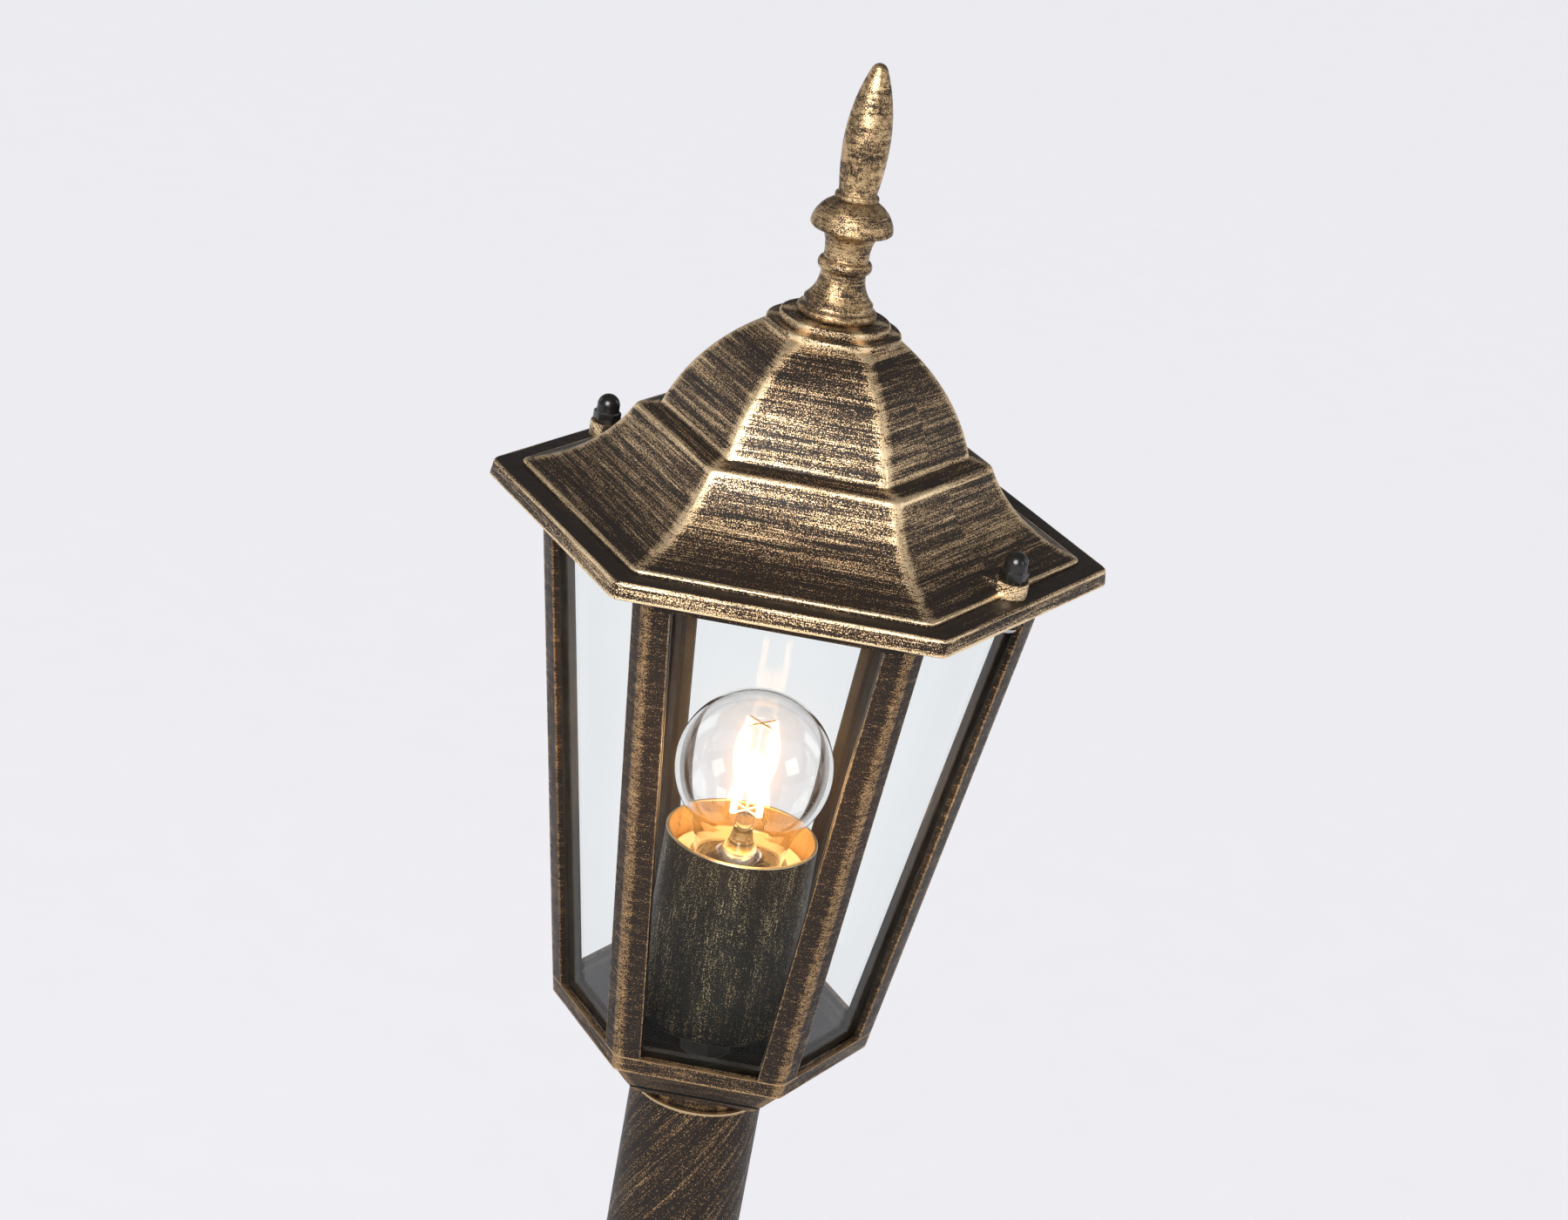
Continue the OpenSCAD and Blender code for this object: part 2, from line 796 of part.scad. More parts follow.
// Outline of the finial, turned: bell foot, bead, neck, knop, ring and flame
module finial_foot_profile() {
    cove_r = 10;
    rim_r = 1.5;
    neck_r = finial_neck_d / 2;
    foot_r = finial_foot_d / 2;
    difference() {
        square([foot_r - rim_r, finial_foot_h]);
        translate([neck_r + cove_r, finial_foot_h])
            circle(r = cove_r);
    }
    translate([foot_r - rim_r, rim_r])
        circle(r = rim_r);
}

module finial_knop_profile() {
    knop_r = 6.1;
    knop_x = finial_knop_d / 2 - knop_r;
    lip_z = finial_knop_z - 1.4;
    lip_r = finial_knop_d / 2 - 1.2;
    waist_z = finial_knop_z - 8;
    flare_z = finial_knop_z - 3;
    flare_r = finial_neck_d / 2 + 1;
    intersection() {
        union() {
            translate([knop_x, finial_knop_z])
                circle(r = knop_r);
            translate([0, finial_knop_z - knop_r])
                square([knop_x, 2 * knop_r]);
        }
        translate([0, lip_z])
            square([finial_knop_d, 2 * knop_r]);
    }
    polygon([
        [0, finial_foot_h], [finial_neck_d / 2, finial_foot_h], [finial_neck_d / 2, waist_z],
        [flare_r, flare_z], [lip_r, lip_z], [0, lip_z]
    ]);
}

// The flame's sides are two arcs; its tip is a small ball
module flame_profile() {
    side_r = 52;
    lower_r = 78;
    tip_r = 2;
    low_z = finial_knop_z + 5;
    intersection() {
        translate([flame_d / 2 - side_r, flame_z])
            circle(r = side_r, $fn = 128);
        translate([0, flame_z])
            square([flame_d, finial_h - flame_z - tip_r]);
    }
    intersection() {
        translate([flame_d / 2 - lower_r, flame_z])
            circle(r = lower_r, $fn = 128);
        translate([0, low_z])
            square([flame_d, flame_z - low_z]);
    }
    intersection() {
        translate([0, finial_h - tip_r])
            circle(r = tip_r);
        translate([0, finial_h - 2 * tip_r])
            square([tip_r, 2 * tip_r]);
    }
}

module bead_profile(r, x, z) {
    translate([x, z])
        circle(r = r);
    translate([0, z - r])
        square([x, 2 * r]);
}

module finial() {
    bead_r = 1.9;
    bead_x = finial_neck_d / 2 - 0.6;
    bead_z = finial_foot_h + 2.4;
    ring_r = 1.15;
    ring_x = flame_d / 2 - 1.4;
    ring_z = finial_knop_z + 7.2;
    color(gold)
        translate([0, 0, roof_top_z])
            difference() {
                rotate_extrude() {
                    finial_foot_profile();
                    bead_profile(bead_r, bead_x, bead_z);
                    finial_knop_profile();
                    bead_profile(ring_r, ring_x, ring_z);
                    flame_profile();
                }
                translate([0, 0, -cut])
                    cylinder(h = finial_foot_h + cut, r = finial_stud_d / 2 + run_gap);
            }
}

module finial_stud() {
    thread_out = 1.5;
    tail = finial_washer_t + finial_nut_h + thread_out;
    body_h = roof_top_z - dome_ceiling_z + finial_foot_h - cut;
    color("silver")
        translate([0, 0, dome_ceiling_z - tail])
            cylinder(h = tail + body_h, r = finial_stud_d / 2);
}

module finial_washer() {
    color("silver")
        tube(
            finial_stud_d / 2 + finial_washer_brim, finial_stud_d / 2 + run_gap,
            dome_ceiling_z - finial_washer_t, finial_washer_t
        );
}

module finial_nut() {
    color("silver")
        translate([0, 0, dome_ceiling_z - finial_washer_t - finial_nut_h])
            hex_nut(finial_nut_w, finial_nut_h, finial_stud_d / 2 + run_gap);
}

// Long nut on the lantern's floor that carries the cup
module clamp_nut() {
    color("gray")
        translate([0, 0, floor_z])
            rotate([0, 0, clamp_nut_turn])
                hex_nut(rod_nut_w, long_nut_h, rod_d / 2 + run_gap);
}

module lamp_cup() {
    cup_r = cup_d / 2;
    color("#34322a")
        translate([0, 0, cup_z])
            difference() {
                rotate_extrude() {
                    square([cup_r - cup_edge_r, cup_floor_t + cup_edge_r]);
                    translate([0, cup_edge_r])
                        square([cup_r, cup_h - cup_edge_r]);
                    translate([cup_r - cup_edge_r, cup_edge_r])
                        circle(r = cup_edge_r);
                }
                translate([0, 0, cup_edge_r])
                    cylinder(h = cup_h, r = cup_r - cup_wall);
                translate([0, 0, cup_floor_t])
                    cylinder(h = cup_h, r = cup_r - cup_edge_r);
                translate([0, 0, -cut])
                    cylinder(h = cup_floor_t + 2 * cut, r = rod_d / 2 + run_gap);
            }
}

// Porcelain lamp holder with a rounded rim and room for its terminals
module holder_body() {
    r = holder_d / 2;
    rim_r = 2.4;
    foot_r = cup_d / 2 - cup_edge_r - soft_gap;
    color("#ece4d2")
    difference() {
        translate([0, 0, holder_z])
            rotate_extrude() {
                square([foot_r, holder_top_z - holder_z]);
                translate([0, cup_edge_r])
                    square([r, holder_top_z - holder_z - rim_r - cup_edge_r]);
                square([r - rim_r, holder_top_z - holder_z]);
                translate([r - rim_r, holder_top_z - holder_z - rim_r])
                    circle(r = rim_r);
            }
        translate([0, 0, holder_floor_z])
            cylinder(h = holder_top_z, r = shell_in_r + shell_t + soft_gap / 2);
        translate([0, 0, holder_z - cut])
            cylinder(h = rod_in_holder + 2 * cut, r = rod_d / 2 + run_gap);
        translate([-terminal_x - terminal_room_w / 2, -terminal_room_w / 2, terminal_room_z])
            cube([2 * terminal_x + terminal_room_w, terminal_room_w, wire_room_h]);
        for (x = [-terminal_x, terminal_x])
            translate([x, 0, holder_z - cut])
                cylinder(h = rod_in_holder + 2 * cut, r = terminal_room_w / 2);
        for (x = [-terminal_x, terminal_x])
            translate([x, 0, terminal_room_z])
                cylinder(h = wire_room_h + 2, r = small_screw_r + run_gap);
        translate([0, 0, terminal_room_z])
            cylinder(h = holder_floor_z - terminal_room_z + cut, r = small_screw_r + run_gap);
    }
}

// Threaded sleeve of the holder: a thin tube with rolled rings inside
module holder_shell() {
    rings = floor((cap_len - plain_len) / thread_pitch);
    ring_x = shell_in_r + shell_t / 2;
    color("goldenrod")
        rotate_extrude() {
            translate([shell_in_r, shell_z])
                square([shell_t, shell_top_z - shell_z]);
            for (i = [0:rings - 1])
                intersection() {
                    translate([ring_x, cap_top_z - first_ring - (i + 0.5) * thread_pitch])
                        circle(r = shell_bead_r);
                    translate([shell_in_r - shell_bead_r, shell_z])
                        square([shell_bead_r + shell_t, shell_top_z - shell_z]);
                }
            translate([shell_in_r, holder_floor_z])
                square([shell_t, shell_z - holder_floor_z]);
        }
}

// Spring contact in the middle of the holder's floor
module holder_contact() {
    color("goldenrod") {
        translate([0, 0, holder_floor_z])
            cylinder(h = leaf_t, r = leaf_r);
        translate([0, 0, core_z + core_r + soft_gap])
            cylinder(h = holder_floor_z - core_z - core_r - soft_gap + sink, r = small_screw_r);
    }
}

// The holder's two terminal screws, heads down
module holder_screws() {
    color("goldenrod")
        for (x = [-terminal_x, terminal_x])
            translate([x, 0, 0]) {
                translate([0, 0, terminal_room_z - terminal_head_h])
                    cylinder(h = terminal_head_h, r = terminal_head_r);
                translate([0, 0, terminal_room_z - sink])
                    cylinder(h = wire_room_h + 1.5, r = small_screw_r);
            }
}

// Screw cap of the bulb: a thin shell with thread rings
module bulb_cap() {
    rings = floor((cap_len - plain_len) / thread_pitch);
    color("silver")
        rotate_extrude()
            difference() {
                union() {
                    translate([0, cap_bottom_z])
                        square([cap_core_r, cap_len]);
                    translate([0, cap_top_z - cap_rim_h])
                        square([bulb_neck_d / 2, cap_rim_h]);
                    for (i = [0:rings - 1])
                        translate([cap_core_r, cap_top_z - first_ring - (i + 1) * thread_pitch + sink])
                            circle(r = bead_r);
                }
                translate([0, cap_bottom_z - cut])
                    square([cap_core_r - cap_wall, cap_len + 2 * cut]);
                translate([-bead_r, cap_bottom_z - 2 * bead_r])
                    square([bead_r, cap_len + 4 * bead_r]);
            }
}

module bulb_insulator() {
    color("#202020")
        translate([0, 0, cap_bottom_z - insulator_h])
            cylinder(h = insulator_h, r1 = insulator_low_r, r2 = cap_core_r);
}

module bulb_contact() {
    color("silver")
        translate([0, 0, bulb_contact_z])
            cylinder(h = contact_h, r1 = contact_low_r, r2 = contact_top_r);
}

// Outline of the bulb: a ball that runs into its neck by an arc
module bulb_outline(shrink) {
    r = bulb_d / 2 - shrink;
    neck_r = bulb_neck_d / 2 - shrink;
    sweep_r = (pow(bulb_neck_len, 2) + pow(neck_r, 2) - pow(r, 2)) / (2 * (r - neck_r));
    k = r / (r + sweep_r);
    intersection() {
        circle(r = r, $fn = 96);
        translate([0, -bulb_neck_len * k])
            square([r, 2 * r]);
    }
    difference() {
        translate([0, -bulb_neck_len])
            square([(neck_r + sweep_r) * k, bulb_neck_len * (1 - k) + sink / 10]);
        translate([neck_r + sweep_r, -bulb_neck_len])
            circle(r = sweep_r, $fn = 128);
    }
}

module bulb_glass() {
    color("white", 0.3)
        translate([0, 0, bulb_z])
            rotate_extrude()
                difference() {
                    bulb_outline(0);
                    bulb_outline(bulb_glass_t);
                }
}

// Flared glass stem inside the bulb
module bulb_stem() {
    flare_h = stem_top + bulb_neck_len - flare_rim_h;
    color("white", 0.4)
        translate([0, 0, bulb_z])
            rotate_extrude() {
                difference() {
                    translate([0, -bulb_neck_len])
                        square([stem_foot_r, flare_h]);
                    translate([stem_r + flare_h, -bulb_neck_len + flare_h])
                        circle(r = flare_h);
                }
                translate([0, -bulb_neck_len])
                    square([stem_r, stem_top + bulb_neck_len]);
            }
}

// Metal wires that hold the filaments: a cross below and a cross above
module bulb_leads() {
    color("silver")
        translate([0, 0, bulb_z]) {
            for (z = [-filament_len / 2, filament_len / 2])
                for (a = [45, 135])
                    rotate([0, 0, a])
                        translate([0, 0, z])
                            rotate([0, 90, 0])
                                cylinder(h = 2 * filament_reach, r = lead_r, center = true);
            translate([0, 0, stem_top])
                cylinder(h = filament_len + 1, r = lead_r);
        }
}

module bulb_filaments() {
    color("orange")
        translate([0, 0, bulb_z])
            for (a = [45, 135, 225, 315])
                rotate([0, 0, a])
                    translate([filament_reach, 0, -filament_len / 2 + lead_r])
                        cylinder(h = filament_len - 2 * lead_r, r = filament_d / 2);
}

// Three-way terminal block with entry ports on its inner side
module terminal_block() {
    color("whitesmoke")
    difference() {
        translate([block_reach - block_w / 2, -block_l / 2, block_z])
            cube([block_w, block_l, block_h]);
        for (y = [-terminal_pitch, 0, terminal_pitch])
            translate([terminal_x_out, y, block_z - cut])
                cylinder(h = block_h / 2 + cut, r = terminal_r + run_gap);
        translate([block_screw_x, 0, block_z - cut])
            cylinder(h = head_depth + cut, r = block_head_r + soft_gap);
        translate([block_screw_x, 0, block_z])
            cylinder(h = block_h + cut, r = small_screw_r + run_gap);
    }
}

module slotted_screw(head_r, head_h, shank_r, shank_l) {
    difference() {
        cylinder(h = head_h, r = head_r);
        translate([-head_r - cut, -slot_d / 2, -cut])
            cube([2 * head_r + 2 * cut, slot_d, cut + slot_d]);
    }
    translate([0, 0, head_h - sink])
        cylinder(h = shank_l + sink, r = shank_r);
}

module terminal_screws() {
    color("silver")
        for (y = [-terminal_pitch, 0, terminal_pitch])
            translate([terminal_x_out, y, block_z + cut])
                slotted_screw(terminal_r, screw_head_h, small_screw_r, block_h / 2 - head_depth);
}

// Screw that fixes the terminal block to its post
module block_screw() {
    color("silver")
        translate([block_screw_x, 0, block_z + cut])
            slotted_screw(block_head_r, screw_head_h, small_screw_r, block_h / 2 + 9);
}

module earth_screw() {
    color("goldenrod")
        translate([earth_x, 0, base_ceiling_z - earth_post_h - earth_head_h])
            slotted_screw(earth_head_r, earth_head_h, earth_screw_r, earth_post_h - earth_screw_end - 1);
}

// Cable from the terminal block up through the rod to the holder's terminals
module internal_cable() {
    r = cable_d / 2;
    color("black") {
        translate([0, 0, cable_z + cable_bend_r])
            cylinder(h = rod_top_z - cable_z - cable_bend_r, r = r);
        translate([cable_bend_r, 0, cable_z + cable_bend_r])
            rotate([90, 0, 0])
                rotate_extrude(angle = 90)
                    translate([-cable_bend_r, 0])
                        circle(r = r);
        translate([cable_bend_r, 0, cable_z])
            rotate([0, 90, 0])
                cylinder(h = block_reach - block_w / 2 - cable_bend_r, r = r);
        for (side = [-1, 1]) {
            translate([side * core_x, 0, rod_top_z - sink])
                cylinder(h = core_z - rod_top_z + sink, r = core_r);
            translate([side * core_x, 0, core_z])
                rotate([0, side * 90, 0])
                    cylinder(h = terminal_x - core_x - small_screw_r - run_gap, r = core_r);
        }
    }
}

base_flange();
pole();
tie_rod();
tie_washer();
tie_nut();
lantern_frame();
glass_pane(0);  // glass_pane_1
glass_pane(1);  // glass_pane_2
glass_pane(2);  // glass_pane_3
glass_pane(3);  // glass_pane_4
glass_pane(4);  // glass_pane_5
glass_pane(5);  // glass_pane_6
roof_stud(stud_sides[0]);  // roof_stud_front
roof_stud(stud_sides[1]);  // roof_stud_rear
clamp_nut();
lamp_cup();
holder_body();
holder_shell();
holder_contact();
holder_screws();
bulb_cap();
bulb_insulator();
bulb_contact();
bulb_glass();
bulb_stem();
bulb_leads();
bulb_filaments();
roof();
finial();
finial_stud();
finial_washer();
finial_nut();
cap_nut(stud_sides[0]);  // cap_nut_front
cap_nut(stud_sides[1]);  // cap_nut_rear
terminal_block();
terminal_screws();
block_screw();
earth_screw();
internal_cable();
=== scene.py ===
"""Garden light: finishes, finely modelled castings, glass, light and camera."""
import logging
from dataclasses import dataclass, field
from enum import Enum
from functools import partial, reduce
from math import atan2, copysign, cos, degrees, pi, radians, sin, sqrt, tan
from typing import Callable, Iterable, Optional, Sequence, Union

import bmesh
import bpy
from mathutils import Matrix, Vector


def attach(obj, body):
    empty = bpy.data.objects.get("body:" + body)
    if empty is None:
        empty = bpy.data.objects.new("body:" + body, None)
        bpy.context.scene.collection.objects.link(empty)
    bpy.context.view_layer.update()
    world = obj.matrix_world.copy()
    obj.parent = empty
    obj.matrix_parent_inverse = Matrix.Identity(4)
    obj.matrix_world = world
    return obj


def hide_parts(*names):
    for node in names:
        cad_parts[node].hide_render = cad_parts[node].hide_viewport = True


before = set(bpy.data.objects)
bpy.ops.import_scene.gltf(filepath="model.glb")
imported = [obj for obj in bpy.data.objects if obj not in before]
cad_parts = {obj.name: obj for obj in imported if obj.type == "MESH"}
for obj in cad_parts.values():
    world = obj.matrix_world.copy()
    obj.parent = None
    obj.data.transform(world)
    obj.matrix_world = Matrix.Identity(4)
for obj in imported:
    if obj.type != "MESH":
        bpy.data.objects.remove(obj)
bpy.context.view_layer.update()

LOG = logging.getLogger("garden_light")

MM = 0.001
COS30 = cos(radians(30))
SIDES = 6
ROOT, BULB, ROOF, FRONT_NUT, REAR_NUT = "post_and_lantern", "bulb", "roof_cap", "front_nut", "rear_nut"

Color = tuple[float, float, float]
Point2 = tuple[float, float]
Point3 = tuple[float, float, float]
Material = bpy.types.Material
Object = bpy.types.Object
Socket = bpy.types.NodeSocket
Value = Union[float, Color, Socket]


# Outlines


def arc(centre: Point2, radius: float, start: float, end: float, steps: int) -> list[Point2]:
    """Points on an arc of a profile.

    Args:
        centre: Radius and height of the arc's centre.
        radius: The arc's radius.
        start: Start angle in degrees, 0 pointing outwards.
        end: End angle in degrees.
        steps: Number of stretches.

    Returns:
        The points, both ends included.
    """
    turns = [radians(start + (end - start) * i / steps) for i in range(steps + 1)]
    return [(centre[0] + radius * cos(a), centre[1] + radius * sin(a)) for a in turns]


def arc_through(low: Point2, high: Point2, centre: Point2, steps: int) -> list[Point2]:
    """Points on the arc from low to high about a centre.

    Args:
        low: First point.
        high: Last point.
        centre: Centre of the arc.
        steps: Number of stretches.

    Returns:
        The points, both ends included.
    """
    first = atan2(low[1] - centre[1], low[0] - centre[0])
    last = atan2(high[1] - centre[1], high[0] - centre[0])
    if last - first > pi:
        last -= 2 * pi
    if first - last > pi:
        last += 2 * pi
    radius = sqrt((low[0] - centre[0]) ** 2 + (low[1] - centre[1]) ** 2)
    return arc(centre, radius, degrees(first), degrees(last), steps)


def arc_centre(first: Point2, last: Point2, radius: float) -> Point2:
    """Centre of the arc of that radius through two points, on the left of the way between them.

    Args:
        first: First point.
        last: Last point.
        radius: The arc's radius.

    Returns:
        The centre.
    """
    run = (last[0] - first[0], last[1] - first[1])
    half = sqrt(run[0] ** 2 + run[1] ** 2) / 2
    rise = sqrt(radius**2 - half**2)
    middle = ((first[0] + last[0]) / 2, (first[1] + last[1]) / 2)
    return (middle[0] - run[1] * rise / (2 * half), middle[1] + run[0] * rise / (2 * half))


def at_height(centre: Point2, radius: float, z: float) -> Point2:
    """Point at a height on an arc, on its inner side where the radius is below 0."""
    return (centre[0] + copysign(sqrt(radius**2 - (z - centre[1]) ** 2), radius), z)


# Modelling


def add_object(name: str, data: bpy.types.ID) -> Object:
    """Adds an object with that data to the scene."""
    obj = bpy.data.objects.new(name, data)
    bpy.context.scene.collection.objects.link(obj)
    return obj


class Bench:
    """Modelling steps on one piece, each a Blender operator, with faces and edges picked by place."""

    def __init__(self, name: str, obj: Optional[Object] = None) -> None:
        """Starts a piece with that name, or takes up one that is there."""
        self.name = name
        self.obj = obj

    @staticmethod
    def clear() -> None:
        """Leaves nothing selected."""
        if bpy.context.object and bpy.context.object.mode != "OBJECT":
            bpy.ops.object.mode_set(mode="OBJECT")
        bpy.ops.object.select_all(action="DESELECT")

    def activate(self) -> None:
        """Makes the piece the only one selected, in object mode."""
        self.clear()
        self.obj.select_set(True)
        bpy.context.view_layer.objects.active = self.obj

    def edit(self, mode: str = "VERT") -> None:
        """Enters edit mode with nothing selected.

        Args:
            mode: VERT, EDGE or FACE.
        """
        self.activate()
        bpy.ops.object.mode_set(mode="EDIT")
        bpy.ops.mesh.select_mode(type=mode)
        bpy.ops.mesh.select_all(action="DESELECT")

    def pick(self, kind: str, test: Callable[[Sequence[Vector]], bool]) -> int:
        """Selects the faces, edges or vertices that a test on their corners accepts.

        Args:
            kind: faces, edges or verts.
            test: Takes the corners' positions in millimetres.

        Returns:
            How many were selected.
        """
        mesh = bmesh.from_edit_mesh(self.obj.data)
        found = 0
        for item in getattr(mesh, kind):
            corners = [item] if kind == "verts" else item.verts
            chosen = test([v.co / MM for v in corners])
            item.select_set(chosen)
            found += chosen
        mesh.select_flush_mode()
        bmesh.update_edit_mesh(self.obj.data)
        return found

    def chain(self, profile: Sequence[Point2], sides: int, turn: float = 0,
              closed: bool = False) -> "Bench":
        """Adds a ring and extrudes it along a profile, as a lathe or a six-sided loft.

        Args:
            profile: Radius and height of each ring, in millimetres.
            sides: Corners of a ring.
            turn: Turn of the first corner in degrees.
            closed: True for a loop with a hole in its middle, False for a solid with two caps.

        Returns:
            The bench.
        """
        self.clear()
        radius, height = profile[0]
        bpy.ops.mesh.primitive_circle_add(
            vertices=sides, radius=radius * MM, fill_type="NOTHING" if closed else "NGON",
            location=(0, 0, height * MM), rotation=(0, 0, radians(turn)),
        )
        self.obj = bpy.context.active_object
        self.obj.name = self.obj.data.name = self.name
        bpy.ops.object.mode_set(mode="EDIT")
        bpy.ops.mesh.select_mode(type="EDGE" if closed else "FACE")
        bpy.ops.mesh.select_all(action="SELECT")
        rings = list(profile[1:]) + ([profile[0]] if closed else [])
        for next_radius, next_height in rings:
            bpy.ops.mesh.extrude_region_move(
                TRANSFORM_OT_translate={"value": (0, 0, (next_height - height) * MM)}
            )
            scale = next_radius / radius
            bpy.ops.transform.resize(value=(scale, scale, 1), center_override=(0, 0, next_height * MM))
            radius, height = next_radius, next_height
        bpy.ops.mesh.select_all(action="SELECT")
        bpy.ops.mesh.remove_doubles(threshold=0.002 * MM)
        bpy.ops.mesh.normals_make_consistent(inside=False)
        bpy.ops.object.mode_set(mode="OBJECT")
        bpy.ops.object.transform_apply(location=True, rotation=True, scale=True)
        return self

    def bevel(self, width: float, segments: int, clamp: bool = True) -> None:
        """Rounds the selected edges.

        Args:
            width: Width in millimetres.
            segments: Number of facets.
            clamp: False to keep the width where edges lie close.
        """
        bpy.ops.mesh.bevel(
            offset=width * MM, segments=segments, profile=0.5, affect="EDGES", clamp_overlap=clamp
        )

    def smooth(self, angle: float = 35) -> Object:
        """Shades the piece smooth up to an angle and returns it."""
        self.activate()
        bpy.ops.object.shade_smooth_by_angle(angle=radians(angle))
        return self.obj

    def join(self, others: Iterable[Object]) -> None:
        """Joins other pieces into this one."""
        self.activate()
        for other in others:
            other.select_set(True)
        bpy.ops.object.join()

    def from_node(self, node: str) -> "Bench":
        """Starts from a merged copy of a solid, with its flat faces joined up.

        Args:
            node: The solid's name.

        Returns:
            The bench.
        """
        self.clear()
        self.obj = add_object(self.name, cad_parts[node].data.copy())
        self.obj.data.name = self.name
        self.obj.data.materials.clear()
        self.edit()
        bpy.ops.mesh.select_all(action="SELECT")
        bpy.ops.mesh.remove_doubles(threshold=0.001 * MM)
        bpy.ops.mesh.customdata_custom_splitnormals_clear()
        bpy.ops.mesh.dissolve_limited(angle_limit=radians(0.4), delimit={"NORMAL"})
        bpy.ops.object.mode_set(mode="OBJECT")
        return self


def settle(obj: Object, body: str, material: Material, slot: str, *nodes: str) -> None:
    """Dresses a piece, fixes it to its body and lets it stand for its solids.

    Args:
        obj: The piece.
        body: The body it moves with.
        material: Its finish.
        slot: Not used.
        nodes: The solids that it replaces.
    """
    obj.data.materials.clear()
    obj.data.materials.append(material)
    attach(obj, body)
    if nodes:
        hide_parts(*nodes)
    LOG.info("%s: %d faces on %s", obj.name, len(obj.data.polygons), body)


def dress(material: Material, *nodes: str) -> None:
    """Gives solids that stay their finish.

    Args:
        material: Their finish.
        nodes: The solids' names.
    """
    for node in nodes:
        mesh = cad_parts[node].data
        mesh.materials.clear()
        mesh.materials.append(material)
        LOG.info("%s: %s", node, material.name)


# Materials


class Graph:
    """A material's nodes, built one step at a time on Object coordinates."""

    def __init__(self, name: str) -> None:
        """Starts a material with a Principled shader."""
        self.material = bpy.data.materials.new(name)
        self.material.use_nodes = True
        self.tree = self.material.node_tree
        self.shader = self.tree.nodes["Principled BSDF"]
        coordinates = self.tree.nodes.new("ShaderNodeTexCoord")
        self.place = coordinates.outputs["Object"]
        self.normal = coordinates.outputs["Normal"]
        self.x, self.y, self.z = self.split(self.place)

    def feed(self, socket: Socket, value: Value) -> None:
        """Links a socket to another, or sets its constant."""
        if isinstance(value, bpy.types.NodeSocket):
            self.tree.links.new(value, socket)
        elif isinstance(value, tuple) and len(socket.default_value) == 4:
            socket.default_value = (*value, 1.0)
        else:
            socket.default_value = value

    def set(self, name: str, value: Value) -> None:
        """Feeds an input of the shader."""
        self.feed(self.shader.inputs[name], value)

    def split(self, vector: Socket) -> Sequence[Socket]:
        """The three values of a vector."""
        node = self.tree.nodes.new("ShaderNodeSeparateXYZ")
        self.tree.links.new(vector, node.inputs[0])
        return node.outputs

    def pack(self, x: Value, y: Value, z: Value) -> Socket:
        """A vector of three values."""
        node = self.tree.nodes.new("ShaderNodeCombineXYZ")
        for socket, value in zip(node.inputs, (x, y, z)):
            self.feed(socket, value)
        return node.outputs[0]

    def math(self, operation: str, *values: Value) -> Socket:
        """A Math node of that operation."""
        node = self.tree.nodes.new("ShaderNodeMath")
        node.operation = operation
        for socket, value in zip(node.inputs, values):
            self.feed(socket, value)
        return node.outputs[0]

    def total(self, *values: Value) -> Socket:
        """The sum of several values."""
        return reduce(lambda first, second: self.math("ADD", first, second), values)

    def most(self, *values: Value) -> Socket:
        """The largest of several values."""
        return reduce(lambda first, second: self.math("MAXIMUM", first, second), values)

    def times(self, first: Value, second: Value) -> Socket:
        """The product of two values."""
        return self.math("MULTIPLY", first, second)

    def above(self, value: Value, limit: float) -> Socket:
        """1 where a value in metres is above a limit in millimetres, else 0."""
        return self.math("GREATER_THAN", value, limit * MM)

    def below(self, value: Value, limit: float) -> Socket:
        """1 where a value in metres is below a limit in millimetres, else 0."""
        return self.math("LESS_THAN", value, limit * MM)

    def blend(self, first: Value, share: float, second: Value, other: float) -> Socket:
        """Two values, each times its share, added up."""
        return self.total(self.times(first, share), self.times(second, other))

    def length(self, x: Value, y: Value) -> Socket:
        """How long the line from the origin to that place is."""
        return self.math("SQRT", self.total(self.math("POWER", x, 2.0), self.math("POWER", y, 2.0)))

    def around(self, radius: float) -> Socket:
        """Metres along a cylinder of that radius in millimetres, from its front."""
        return self.times(self.math("ARCTAN2", self.x, self.times(self.y, -1.0)), radius * MM)

    def noise(self, vector: Value, scale: float, detail: float = 2, rough: float = 0.5) -> Socket:
        """Noise between 0 and 1."""
        node = self.tree.nodes.new("ShaderNodeTexNoise")
        self.feed(node.inputs["Vector"], vector)
        node.inputs["Scale"].default_value = scale
        node.inputs["Detail"].default_value = detail
        node.inputs["Roughness"].default_value = rough
        return node.outputs["Fac"]

    def grain(self, size: float, detail: float = 2, rough: float = 0.5) -> Socket:
        """Noise of that size in millimetres, the same in every direction."""
        return self.noise(self.place, 1 / (size * MM), detail, rough)

    def drawn(self, along: Value, length: float, across: Value, width: float, seed: Value,
              detail: float, rough: float = 0.5) -> Socket:
        """Noise drawn out in one direction.

        Args:
            along: Metres along that direction.
            length: Length of its marks in millimetres.
            across: Metres across it.
            width: Width of its marks in millimetres.
            seed: Sets one place's marks apart from another's.
            detail: How many finer layers it has.
            rough: How strong they are.

        Returns:
            The noise, from 0 to 1.
        """
        place = self.pack(self.times(along, 1 / (length * MM)), self.times(across, 1 / (width * MM)), seed)
        return self.noise(place, 1.0, detail, rough)

    def fit(self, value: Value, low: float, high: float, to_low: float = 0, to_high: float = 1,
            soft: bool = True) -> Socket:
        """Maps a range to another, with soft ends."""
        node = self.tree.nodes.new("ShaderNodeMapRange")
        node.interpolation_type = "SMOOTHSTEP" if soft else "LINEAR"
        for socket, item in zip(node.inputs, (value, low, high, to_low, to_high)):
            self.feed(socket, item)
        return node.outputs[0]

